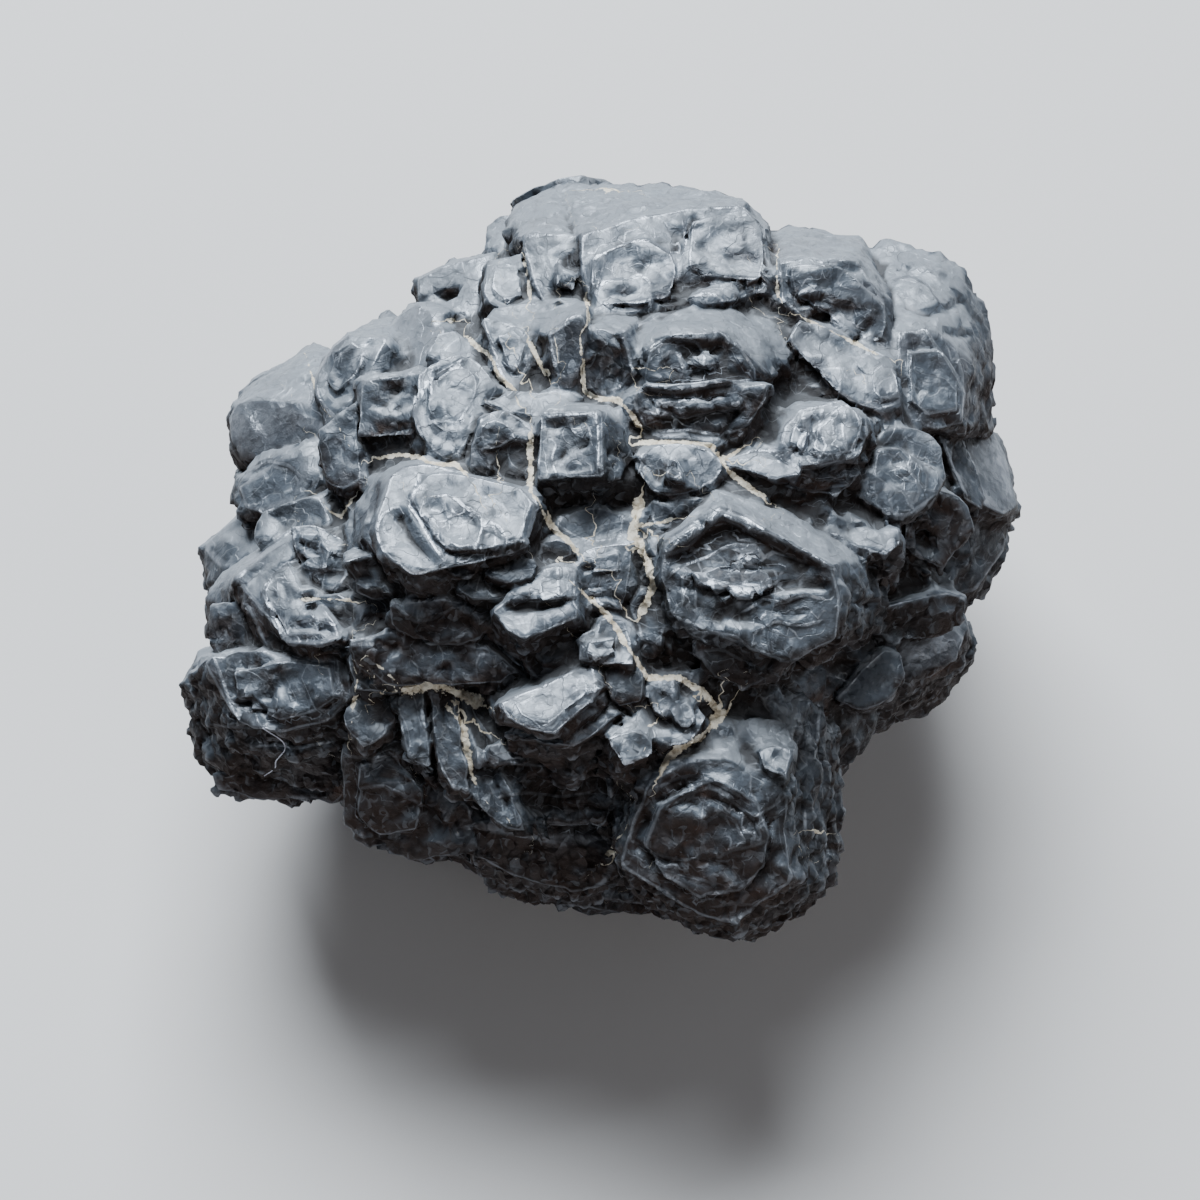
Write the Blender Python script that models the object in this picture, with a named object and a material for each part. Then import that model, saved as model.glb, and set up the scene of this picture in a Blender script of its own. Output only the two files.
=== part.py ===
"""A rounded cluster of blocky, intergrown crystals with stepped faces, modelled as one closed solid.

The crystals of the seen side were measured as flat outlines on a drawing plane that is square to the line of
sight (azimuth 0, elevation VIEW_ELEVATION). Each outline becomes the cap of a crystal that grows out of a rounded
core. The crystals of the far side and of the underside are blocks set round the same core.
"""

import math
import random

import bmesh
import bpy
import numpy as np
from mathutils import Matrix, Vector

MM = 0.001

# ---- driving dimensions (millimetres and degrees)
DRAWING_UNIT = 0.0510  # one step of the drawing plane, at the middle of the stone
DRAWING_CENTRE = (600.0, 600.0)  # drawing position of the line of sight
VIEW_ELEVATION = 52.0
VIEW_DISTANCE = 170.0
BODY_CENTRE = (598.0, 562.0)  # drawing position of the middle of the stone
BODY_DEPTH = 17.0  # from the middle of the stone towards the eye
BODY_LEAN = -0.17  # the widest section leans towards the ground at the front
BODY_FULLNESS = 2.3  # 2 is an ellipsoid, more is blockier
WAIST_REACH = 7.0  # a crystal's waist lies at most this far behind its cap
CORE_INSET = 1.9  # the core lies this far under the crystals' outer surface
FAR_DEPTH = 15.5  # from the middle of the stone away from the eye
FAR_TAPER = 0.08  # the far half draws in by this share
FAR_SIDE = 0.16  # far crystals face away from the eye by more than this cosine
PLATE_LEAST = 0.2  # plates on a cap that stand lower than this are left flat
REST_TRIM = 1.3  # worn flat facets on the underside, this far above the lowest tip

STONE_COLOUR = (0.06, 0.06, 0.066, 1.0)
STONE_ROUGHNESS = 0.42
STONE_METALLIC = 0.55

# ---- the outline of the stone on the drawing plane
OUTLINE = [
    (483, 250), (485, 222), (512, 200), (532, 188), (555, 183), (605, 180), (655, 180), (680, 189), (725, 194),
    (755, 207), (768, 232), (800, 228), (862, 243), (885, 243), (910, 250), (940, 247), (960, 265), (985, 305),
    (990, 320), (990, 420), (1000, 440), (1012, 480), (1018, 505), (1008, 530), (1000, 555), (985, 570), (975, 600),
    (965, 620), (970, 640), (960, 660), (945, 685), (925, 705), (890, 725), (842, 732), (842, 820), (836, 860),
    (825, 895), (800, 915), (780, 930), (740, 950), (700, 950), (640, 930), (600, 915), (540, 895), (470, 878),
    (400, 862), (360, 845), (335, 805), (300, 808), (250, 800), (215, 790), (203, 765), (190, 735), (180, 700),
    (182, 680), (195, 640), (205, 600), (203, 545), (222, 523), (240, 512), (232, 460), (228, 430), (232, 410),
    (245, 385), (265, 368), (300, 346), (335, 344), (355, 328), (372, 316), (395, 316), (417, 298), (420, 278),
    (450, 267),
]


# ---- the crystals of the seen side
# Each has a name, the lift of its cap over the rounded body (mm), the cap's lean (to the right, up the drawing),
# its depth (mm), the cap's outline, the outline of its waist where that shows, and plates that stand on the cap.
CRYSTALS = []


def points_of(words):
    return [tuple(float(value) for value in pair.split(",")) for pair in words.split()]


def crystal(name, lift, lean, depth, cap, waist=None, plates=(), surface="smooth", flare=1.12):
    CRYSTALS.append({
        "name": name, "lift": lift, "n": lean, "depth": depth, "cap": points_of(cap),
        "root": points_of(waist) if waist else None, "plates": [(points_of(p), h) for p, h in plates],
        "surface": surface, "flare": flare,
    })


# ---- top
crystal("top_block", 1.6, (.08, .50), 6, "583,236 640,217 690,208 745,206 766,230 770,262 762,288 735,299 690,307 640,313 598,317 590,290 583,262",
  "520,262 510,230 530,205 565,184 600,182 655,180 680,188 742,197 768,224 778,262 770,300 735,318 600,328 575,300",
  [("600,259 627,245 650,239 664,248 668,262 675,268 676,285 672,302 662,306 598,312 592,300 592,266", .35),
   ("602,290 604,282 620,279 640,275 652,287 662,300 656,306 640,309 600,312", .35),
   ("684,223 745,210 764,232 768,262 760,286 735,282 700,283 684,275", .45),
   ("690,302 700,292 715,289 722,296 740,295 735,305 700,309", .4)], "wr")
crystal("top_block_left", .9, (-.2, .48), 5, "529,234 574,236 583,262 585,300 560,300 545,302 538,295 528,264 522,245",
  "500,222 512,204 560,183 600,184 605,240 590,310 545,312 524,290", (), "str")
crystal("top_knob", .3, (-.5, .6), 5, "484,226 497,215 511,213 514,240 521,254 495,259 483,252", None, (), "sm")
crystal("notch_cube", 1.1, (0, .5), 2.5, "558,264 570,261 582,268 582,285 574,292 558,290", None, (), "sm", flare=1.05)
crystal("upper_left_a", .9, (-.42, .5), 5, "420,279 455,263 487,257 483,290 474,309 445,315 419,329",
  "416,280 455,258 500,252 500,300 478,318 440,330 414,335",
  [("437,292 447,288 459,287 457,294 446,298", -.6)], "sm")
crystal("upper_left_b", 1.3, (.1, .62), 4.5, "489,258 519,255 527,272 531,298 512,310 494,304 483,292", None,
  [("495,266 515,262 521,280 522,296 508,303 497,297 491,286", .12)], "sm")
crystal("left_shoulder", .6, (-.62, .48), 6, "367,374 376,352 388,332 402,312 418,302 421,330 442,322 441,350 424,369 400,372",
  "360,380 385,330 418,296 455,300 455,360 430,385", (), "sm")
crystal("step_a", .5, (-.1, .5), 3, "424,354 438,331 455,328 468,340 487,353 495,372 480,378 455,362", None, (), "sm")
crystal("step_b", .9, (.02, .42), 3, "480,319 500,322 512,322 520,333 532,347 527,372 517,391 503,376 494,356 486,340", None,
  [("497,340 512,332 527,348 522,372 514,380 505,368", .25)], "sm")
crystal("step_c", .9, (0, .7), 3, "494,307 531,302 546,305 535,318 520,325 508,322 490,315", None, (), "sm")
crystal("wedge_a", 1.4, (-.3, .05), 4.5, "549,338 584,313 588,328 580,345 579,376 568,385 556,375 551,356",
  "514,322 545,304 580,297 592,300 592,330 584,388 560,392 543,378 532,345", (), "sm")
crystal("dark_face", 1.3, (-.32, -.1), 4, "581,332 602,329 622,336 629,350 632,372 620,389 600,395 585,385 579,350",
  "580,328 600,320 640,318 650,380 622,398 585,392 575,350", (), "pit")
crystal("crown_block", 2.3, (.04, 0), 5, "650,348 672,335 720,329 738,345 758,366 768,383 735,388 700,391 660,393 645,386 652,366",
  "627,336 640,318 680,302 740,302 790,325 800,352 790,372 770,392 735,398 690,400 640,396 632,374",
  [("668,347 700,340 722,343 735,360 748,378 700,384 672,382 662,366", -.25), ("690,350 712,346 722,362 716,376 697,374 684,362", .3)], "wr")
crystal("crown_block_low", 1.7, (0, -.12), 4, "632,394 648,386 700,393 768,384 764,402 750,424 717,440 690,432 652,433 639,413",
  "630,392 660,380 740,380 775,384 770,410 752,430 718,445 650,438 636,415",
  [("650,398 700,402 745,398 738,416 700,420 655,415", .2)], "wr")
crystal("right_slope", .8, (.22, .45), 4, "800,316 835,328 860,342 890,356 898,372 902,402 880,408 850,400 822,374 803,355 790,335", None,
  [("868,372 880,362 896,372 900,398 882,402 872,392", .2)], "sm")
crystal("slope_cube", 1.15, (.28, .25), 3, "879,379 892,373 903,379 903,402 893,407 879,402", None, (), "sm", flare=1.03)
crystal("right_crown", 1.7, (.18, .22), 4, "779,263 800,259 858,259 868,285 882,302 889,328 884,345 872,346 850,338 832,324 812,315 799,311 782,297",
  "770,230 790,223 818,228 836,235 862,239 876,262 894,292 897,312 892,338 880,350 850,345 800,318 776,300",
  [("785,265 815,262 838,263 848,276 866,290 884,306 888,326 884,342 872,344 856,338 846,322 828,300 812,290 790,292", .3),
   ("812,268 836,266 844,280 852,292 840,296 828,288 815,284", .22)], "wr")
crystal("far_right_block", 1.8, (.38, .25), 6, "898,332 935,330 956,350 965,378 966,424 940,430 915,420 903,402 899,370",
  "866,250 885,240 912,249 942,246 962,266 985,303 991,330 989,400 993,432 962,442 905,415 892,330",
  [("905,350 935,352 955,375 957,415 930,420 910,405", .2)], "sm")
crystal("far_right_top", .9, (.25, .62), 6, "880,262 905,254 938,257 958,285 962,318 935,320 905,305 886,290", None,
  [("896,264 930,262 945,285 935,300 908,292", .4), ("942,310 962,312 964,330 946,334", .4)], "sm")
# ---- right
crystal("right_cap", 2.0, (0, .42), 4, "783,427 800,411 840,402 864,418 867,432 858,455 835,461 806,469 791,456 780,441",
  "762,445 788,404 845,398 878,414 888,440 880,468 850,484 800,492 772,470",
  [("815,434 836,409 845,404 863,419 858,440 850,455 828,460 810,452", .25), ("790,428 812,416 808,440 800,455 788,444", .18)], "wr")
crystal("right_cap_step", 1.3, (0, .38), 3, "792,470 850,463 862,470 850,487 838,501 818,493 800,492 786,482", None,
  [("800,474 846,467 842,480 806,486", .2)], "wr")
crystal("slab_left", 1.1, (-.02, .58), 2.5, "722,459 745,451 776,448 792,461 801,473 775,479 750,471 730,464", None, (), "sm")
crystal("slab_low", .9, (.05, .45), 3, "752,478 790,484 815,495 830,505 845,525 870,530 898,526 900,545 884,556 850,545 800,512 770,498", None, (), "wr")
crystal("arc_cap", 1.9, (.34, .28), 5, "868,438 892,426 918,427 937,436 946,452 949,478 938,498 925,508 910,520 898,524 882,512 868,500 860,480 862,455",
  None,
  [("872,446 900,447 925,460 940,470 946,482 940,496 925,507 908,519 893,521 878,508 868,495", .18),
   ("878,458 905,466 920,478 926,492 915,507 900,514 885,505 873,486", .18),
   ("882,478 898,482 911,494 908,505 896,508 884,498", .18)], "sm")
crystal("right_rim", .9, (.72, .25), 5, "941,436 952,431 965,440 978,465 990,500 985,511 968,500 958,480 948,455", None, (), "pit")
crystal("right_edge", .3, (.72, .42), 6, "962,440 985,438 1002,450 1010,480 1016,503 1003,514 992,509 985,482 975,458",
  "955,436 990,430 1006,448 1014,480 1018,505 1011,535 990,530 960,500", (), "sm")
crystal("right_edge_low", -.3, (.75, -.1), 6, "963,548 985,535 1007,528 1003,548 986,573 972,590 956,578",
  "945,540 985,510 1010,520 1008,545 990,578 972,604 945,600", (), "sm")
crystal("dark_pit_face", 1.2, (.42, -.12), 4, "905,522 931,487 958,495 972,508 976,532 957,546 945,566 925,560 903,548", None,
  [("918,532 932,530 938,550 930,556 918,548", -.8), ("912,515 928,508 930,520 914,524", .3)], "pit")
crystal("under_right", .5, (.4, -.42), 5, "880,606 905,610 950,590 970,596 966,620 932,640 890,642 868,630", None, (), "wr")
crystal("big_block", 3.0, (0, .04), 5, "667,546 722,509 760,527 832,566 842,600 838,638 800,658 786,662 764,646 739,626 719,611 688,609 669,615 661,580",
  "658,545 668,530 700,503 722,482 760,493 800,511 852,543 882,562 888,600 880,630 840,643 790,668 764,683 739,697 706,678 680,646 664,620",
  [("676,556 722,520 758,537 822,568 832,600 826,632 790,650 742,612 700,600 673,602 668,580", -.4),
   ("690,572 722,556 745,546 757,548 765,562 790,576 782,592 745,602 700,592", .35),
   ("738,582 768,570 790,568 800,577 782,586 762,590", .35),
   ("722,560 745,547 748,566 730,582 716,584", .3)], "wr")
crystal("big_block_low", 2.2, (-.08, -.45), 4, "684,626 720,618 760,650 784,668 740,693 712,677 692,656", None, (), "lay")
crystal("right_heel", .6, (.4, .1), 7, "895,647 927,643 952,630 963,638 957,661 918,664",
  "850,700 880,640 960,612 975,640 966,672 932,712 882,731 845,729", (), "sm")
crystal("right_heel_b", .5, (.1, .15), 4, "832,700 850,684 880,668 884,650 900,652 905,676 890,700 860,712", None, (), "sm")
# ---- bottom
crystal("foot_block", 2.6, (-.04, -.2), 8, "618,866 632,822 650,781 690,760 725,764 780,783 789,800 791,840 796,880 765,893 740,906 735,925 715,918 702,915 660,893 640,880",
  "616,868 630,812 655,766 690,737 730,702 790,692 842,722 843,830 835,880 820,902 790,925 742,943 690,936 650,905",
  [("655,801 700,776 722,776 760,800 775,835 770,870 745,890 700,900 660,880 640,850", .3),
   ("664,806 700,790 735,800 756,825 758,850 730,866 690,862 666,846", .3),
   ("690,806 720,803 740,820 745,838 715,852 690,842", .3)], "lay")
crystal("foot_block_top", 1.7, (.08, .5), 5, "690,757 718,743 728,724 750,716 782,722 796,750 785,785 765,777 740,769 720,762", None,
  [("755,752 772,748 793,752 786,780 762,772", .3)], "sm")
crystal("lip_block", 2.1, (.02, .5), 4, "500,705 514,698 550,686 582,666 597,668 601,686 593,697 571,715 554,734 529,730 511,722",
  "490,712 512,690 560,672 590,655 612,664 622,700 604,722 574,749 520,742 498,724",
  [("512,706 550,692 584,674 590,690 566,711 550,726 530,724 514,716", .12)], "sm")
crystal("lip_block_step", 1.6, (.02, .5), 4, "507,731 529,738 557,742 574,748 588,738 604,721 619,711 615,693 601,688 593,700 571,718 554,736 530,732 511,724", None, (), "sm")
crystal("lip_bar", 1.0, (0, .3), 3, "478,746 503,744 506,756 546,752 540,764 478,764", None, (), "sm")
crystal("small_lip", 1.8, (.12, .38), 3.5, "607,737 640,727 652,737 656,753 623,767", None, (), "sm")
crystal("mid_lump", .6, (.05, .4), 4, "640,690 665,680 690,700 706,715 692,740 666,746 650,730 642,710", None,
  [("650,690 664,690 670,706 664,722 652,712", .3), ("674,704 690,706 696,722 684,732 672,724", .3)], "wr")
crystal("recess_back", -.9, (0, -.3), 4, "478,764 545,764 600,770 618,790 600,826 560,828 520,820 500,798", None, (), "pit")
crystal("low_band", .9, (-.05, -.42), 6, "468,826 530,834 600,842 616,866 600,889 575,892 545,885 500,872 478,856", 
  "455,815 530,815 615,830 625,870 600,900 545,905 490,885 465,850", (), "pit")
crystal("fin_edge", 1.0, (-.3, .1), 3, "462,700 474,702 478,742 492,785 512,808 528,834 505,826 484,815 470,790 464,745", None, (), "sed")
# ---- left, centre
crystal("flower_block", 2.6, (-.08, .5), 5, "390,478 402,469 420,466 450,470 475,488 505,488 528,486 541,503 536,522 529,545 516,552 480,553 455,558 435,565 422,572 410,573 398,561 383,548 376,530 384,512 386,495",
  "343,556 350,512 375,475 400,462 450,462 500,480 535,480 549,505 543,545 520,570 490,590 440,608 400,603 360,588",
  [("420,478 450,473 475,490 505,490 526,488 538,503 533,522 527,545 515,550 480,551 450,556 440,548 425,525 412,512 407,503 415,490", .35),
   ("426,499 440,494 465,497 478,510 482,525 478,543 455,550 441,543 429,520", -.14),
   ("490,520 500,525 508,540 504,548 489,550 485,535", -.14),
   ("446,516 460,510 470,522 464,538 450,534", .1)], "sm")
crystal("flower_step_a", 1.9, (-.02, .42), 4, "476,566 488,561 534,556 540,566 533,579 508,583 492,579", None, (), "sm")
crystal("flower_step_b", 1.5, (-.02, .42), 4, "452,576 458,590 474,599 514,598 522,589 500,586 482,583 470,577", None, (), "sm")
crystal("flower_foot", 1.2, (-.15, -.3), 4, "345,562 376,552 400,572 430,578 455,575 452,600 425,612 385,604 356,592", None, (), "pit")
crystal("flower_foot_b", .9, (-.05, -.25), 4, "385,604 430,598 470,602 495,610 480,640 440,648 410,640 390,625", None, (), "pit")
crystal("flower_foot_c", .3, (-.05, -.1), 4, "350,640 400,632 450,645 500,650 520,670 500,684 440,684 390,684 360,668", None, (), "pit")
crystal("ledge_block", 1.7, (.04, .42), 4, "492,611 540,598 540,568 560,563 581,565 579,590 577,617 552,627 523,640 505,626",
  "486,612 530,590 535,560 585,556 592,590 594,632 560,652 524,668 500,650",
  [("506,607 560,601 577,599 580,567 561,565 542,570 542,597", .22)], "sm")
crystal("under_ledge", .5, (.05, -.2), 4, "520,655 560,642 592,630 600,650 590,668 560,676 530,676", None, (), "lay")
crystal("left_upper_block", 1.9, (0, .46), 4.5, "421,374 445,361 470,357 482,368 498,390 488,405 480,420 470,437 456,456 445,460 430,450 420,438 412,417 417,397", None,
  [("430,384 450,370 470,368 480,384 476,404 462,424 446,440 430,428 424,410", .15)], "wr")
crystal("left_upper_side", 1.6, (-.3, .22), 4, "360,383 420,376 417,397 412,417 420,437 400,436 375,440 358,436",
  "352,385 366,374 421,368 440,380 440,440 405,446 356,444", (), "crk")
crystal("round_dark", 1.5, (.02, .12), 4, "480,417 500,409 522,420 534,440 531,466 525,480 506,490 481,483 468,470 470,448", None,
  [("478,428 490,419 506,424 516,436 500,450 482,452", .3)], "wr")
crystal("flat_strip", .8, (0, .65), 3, "480,404 515,393 560,392 592,398 546,409 536,416 500,413", None, (), "sm")
crystal("cube", 2.3, (-.22, .32), 4, "541,413 603,409 606,474 537,478",
  "537,413 552,403 618,400 642,440 641,482 622,497 600,502 558,498 534,483",
  [("550,421 595,417 597,465 546,469", -.1)], "pitb")
crystal("mask_face", 1.1, (.08, .32), 4, "638,453 655,443 690,442 712,450 723,465 715,481 690,493 665,496 650,488 640,470", None,
  [("672,457 680,470 683,482 661,482 666,468", .4), ("650,462 664,462 662,480 650,480", -.15), ("686,462 700,464 700,480 686,480", -.12)], "sm")
crystal("mask_chin", .7, (.05, .1), 4, "655,498 680,496 700,500 690,520 665,530 650,520", None, (), "lay")
crystal("under_cube", .3, (0, .28), 4, "556,514 600,504 626,512 623,536 600,542 580,536 562,526", None, (), "sm")
crystal("centre_block", .8, (.12, .2), 4, "583,552 600,545 636,542 632,562 628,600 626,613 600,606 588,590 582,570", None,
  [("590,556 624,550 622,572 594,574", .18)], "str")
crystal("centre_small", .6, (.1, .1), 3, "541,540 560,536 576,545 572,560 545,564", None, (), "sm")
crystal("jaw_block", 1.0, (.02, .36), 4, "577,640 600,622 622,623 631,641 630,664 600,663 575,660", None,
  [("585,641 614,637 614,654 600,659 582,654", .22)], "sm")
crystal("pale_column", .5, (-.05, .3), 4, "632,606 655,590 662,620 659,646 641,641", None, (), "sed")
crystal("pale_lumps", .3, (0, .35), 4, "641,676 680,675 702,690 692,706 660,700", None, [("654,680 674,680 678,694 662,698", .3)], "sed")
crystal("mid_slab", .8, (.18, .15), 4, "602,667 628,652 641,675 641,702 619,706 604,692", None, (), "sm")
# ---- left side
crystal("far_left_hex", .6, (-.62, -.02), 7, "242,402 268,403 285,424 277,446 252,457 233,440 230,418",
  "228,420 240,395 258,375 284,362 306,345 336,346 324,372 316,400 330,440 290,460 248,480 234,470", (), "sm")
crystal("far_left_slab", .9, (-.5, .45), 6, "333,352 350,337 385,336 374,362 360,386 342,414 330,418 320,402 314,386",
  "330,347 350,334 366,322 379,314 396,316 392,350 370,395 345,420 325,420 310,392", [("340,356 356,345 372,348 356,378 336,396 326,384", .18)], "sm")
crystal("far_left_low", .2, (-.6, .22), 6, "240,488 262,470 292,456 306,472 296,500 264,514 246,506",
  "232,470 262,455 310,440 320,480 300,520 250,525 236,500", (), "wr")
crystal("left_column", .8, (-.42, .2), 4.5, "318,428 336,412 356,402 358,440 360,478 344,488 326,482 318,455", None, (), "wr")
crystal("left_post", .8, (-.25, .3), 4.5, "292,527 318,525 344,540 348,575 336,592 303,589 296,560", None, [("300,534 318,532 332,548 330,572 304,570", .2)], "crk")
crystal("left_wedge", .5, (-.6, .42), 6, "205,546 222,528 241,514 249,530 251,560 233,572 220,562",
  "202,552 240,510 265,520 270,570 218,602 204,588", (), "sm")
crystal("left_fill", .5, (-.4, .3), 4, "262,512 296,502 318,494 330,520 300,527 292,545 262,560 252,535", None, (), "wr")
crystal("left_block", 1.7, (-.42, .42), 5, "237,580 262,560 290,540 296,560 299,590 303,618 330,632 341,640 320,645 292,643 283,630 268,608 262,598 248,592",
  "205,602 224,572 290,532 302,545 346,638 342,652 290,652 250,680 216,662 205,632",
  [("292,563 275,577 265,593 272,610 292,641 328,641 303,620 297,595", .25)], "sm")
crystal("left_pits", 1.0, (-.52, -.02), 5, "208,606 240,599 262,606 272,626 285,650 290,690 270,700 240,690 215,665 206,636", None, (), "pit")
crystal("left_rubble", .8, (-.15, .15), 4, "300,596 340,596 356,606 352,640 330,630 306,616", None, (), "pit")
crystal("left_foot", 1.4, (-.3, .08), 6, "204,662 240,650 290,652 345,660 354,700 330,722 285,732 243,724 222,695",
  "180,690 200,650 345,650 356,742 322,800 260,798 214,790 204,765 190,735",
  [("232,668 290,660 336,668 342,700 322,714 284,722 250,712 238,694", .3), ("256,676 300,672 318,688 300,704 268,700", .3)], "wr")
crystal("left_foot_strip", .8, (-.45, -.2), 5, "190,736 200,742 216,756 240,760 238,766 212,773 204,765", None, (), "sm")
crystal("low_left_a", .6, (-.1, -.3), 6, "344,742 372,734 420,726 446,760 470,802 480,850 420,864 370,850 345,822", None,
  [("360,760 400,750 430,790 420,830 380,836 358,810", .3)], "wr")
crystal("low_left_b", .4, (-.2, -.5), 6, "212,775 330,752 348,780 340,804 262,801 218,792", None, (), "sm")
crystal("sand_a", .5, (0, .25), 4, "342,712 352,700 386,700 402,712 386,735 366,748 348,732", None, (), "sm")
crystal("sand_b", .6, (.05, .15), 4, "400,690 424,688 428,730 434,768 412,762 402,725", None, (), "sed")
crystal("sand_c", .7, (.05, .15), 4, "430,690 455,692 462,740 472,795 452,790 438,760", None, (), "sed")
crystal("sand_d", .3, (0, .1), 4, "345,650 370,648 400,668 430,684 400,692 360,690", None, (), "sed")


# ---- from the drawing plane to space
ELEVATION = math.radians(VIEW_ELEVATION)
RIGHT = np.array((1.0, 0.0, 0.0))
UP = np.array((0.0, math.sin(ELEVATION), math.cos(ELEVATION)))
TOWARDS = np.array((0.0, -math.cos(ELEVATION), math.sin(ELEVATION)))
EYE = TOWARDS * VIEW_DISTANCE


def on_plane(px, py, height=0.0):
    """The point seen at drawing position px, py that stands this far in front of the drawing plane."""
    near = (VIEW_DISTANCE - height) / VIEW_DISTANCE
    x = (px - DRAWING_CENTRE[0]) * DRAWING_UNIT * near
    y = (DRAWING_CENTRE[1] - py) * DRAWING_UNIT * near
    return RIGHT * x + UP * y + TOWARDS * height


def outline_radius(smoothing):
    """The stone's outline as a radius for each of 120 directions, averaged over its neighbours."""
    points = np.array(OUTLINE, float) - BODY_CENTRE
    angles = np.unwrap(np.arctan2(-points[:, 1], points[:, 0]))
    radii = np.hypot(points[:, 0], points[:, 1])
    order = np.argsort(angles % (2 * math.pi))
    wanted = np.linspace(0, 2 * math.pi, 120, endpoint=False)
    found = np.interp(wanted, (angles % (2 * math.pi))[order], radii[order], period=2 * math.pi)
    return sum(np.roll(found, k) for k in range(-smoothing, smoothing + 1)) / (2 * smoothing + 1)


RADII = outline_radius(3)
SHARP_RADII = outline_radius(0)


def body_height(px, py):
    """Height of the rounded body's front over the drawing plane."""
    dx, dy = px - BODY_CENTRE[0], BODY_CENTRE[1] - py
    turn = (math.atan2(dy, dx) % (2 * math.pi)) / (2 * math.pi) * len(RADII)
    low = int(turn) % len(RADII)
    radius = RADII[low] + (RADII[(low + 1) % len(RADII)] - RADII[low]) * (turn - int(turn))
    share = min(1.0, math.hypot(dx, dy) / radius)
    return BODY_LEAN * dy * DRAWING_UNIT + BODY_DEPTH * (1 - share**BODY_FULLNESS) ** (1 / BODY_FULLNESS)


def cap_points(outline, lift, lean):
    """The outline on the crystal's flat cap, and the cap's normal."""
    outline = np.array(outline, float)
    mid = outline.mean(axis=0)
    through = on_plane(mid[0], mid[1], body_height(*mid) + lift)
    normal = RIGHT * lean[0] + UP * lean[1] + TOWARDS * math.sqrt(max(0.05, 1 - lean[0] ** 2 - lean[1] ** 2))
    normal /= np.linalg.norm(normal)
    rays = np.array([on_plane(*p) for p in outline]) - EYE
    reach = (through - EYE) @ normal / (rays @ normal)
    return EYE + rays * reach[:, None], normal


def seen_crystal(crystal):
    """The corners of one crystal of the seen side: its cap, its waist where the drawing gives one, and its root."""
    cap, normal = cap_points(crystal["cap"], crystal["lift"], crystal["n"])
    middle = cap.mean(axis=0)
    if crystal["root"] is None:
        root = middle + (cap - middle) * crystal["flare"] - normal * crystal["depth"]
        return np.vstack([cap, root])
    behind = (middle @ TOWARDS) - WAIST_REACH
    waist = np.array([on_plane(p[0], p[1], max(body_height(*p) - 0.2, behind)) for p in crystal["root"]])
    # A waist that would stand above the cap's plane is let down under it.
    over = (waist - middle) @ normal + 0.5
    waist = np.where(over[:, None] > 0, EYE + (waist - EYE) * (1 + over[:, None] / VIEW_DISTANCE), waist)
    # From its waist the crystal narrows towards the middle of the stone.
    root = waist + (BODY_MIDDLE - waist) * min(0.45, crystal["depth"] / BODY_DEPTH)
    return np.vstack([cap, waist, root])


def cap_plate(crystal, outline, height):
    """The corners of a raised plate on a crystal's cap."""
    cap, normal = cap_points(crystal["cap"], crystal["lift"], crystal["n"])
    rays = np.array([on_plane(*p) for p in outline]) - EYE
    flat = EYE + rays * ((cap[0] - EYE) @ normal / (rays @ normal))[:, None]
    middle = flat.mean(axis=0)
    return np.vstack([middle + (flat - middle) * 0.93 + normal * height, flat - normal * 0.1, flat - normal * 0.7])


def drawn(point):
    """Drawing position of a point in space, as its share of the outline's radius in that direction."""
    reach = point - EYE
    along = VIEW_DISTANCE / -(reach @ TOWARDS)
    dx = (reach @ RIGHT) * along / DRAWING_UNIT + DRAWING_CENTRE[0] - BODY_CENTRE[0]
    dy = (reach @ UP) * along / DRAWING_UNIT - DRAWING_CENTRE[1] + BODY_CENTRE[1]
    turn = (math.atan2(dy, dx) % (2 * math.pi)) / (2 * math.pi) * len(RADII)
    return math.hypot(dx, dy) / SHARP_RADII[int(turn) % len(RADII)]


def body_radius(way):
    """The body's radius from its middle along this unit vector."""
    right, up, towards = way @ RIGHT, way @ UP, way @ TOWARDS - BODY_LEAN * (way @ UP)
    turn = (math.atan2(up, right) % (2 * math.pi)) / (2 * math.pi) * len(RADII)
    wide = RADII[int(turn) % len(RADII)] * DRAWING_UNIT * (1 - FAR_TAPER * min(1.0, max(0.0, -2.5 * towards)))
    deep = BODY_DEPTH if towards > 0 else FAR_DEPTH
    share = (math.hypot(right, up) / wide) ** BODY_FULLNESS + (abs(towards) / deep) ** BODY_FULLNESS
    return share ** (-1 / BODY_FULLNESS)


def unit(azimuth, elevation):
    azimuth, elevation = math.radians(azimuth), math.radians(elevation)
    return np.array((math.sin(azimuth) * math.cos(elevation), -math.cos(azimuth) * math.cos(elevation), math.sin(elevation)))


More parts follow.
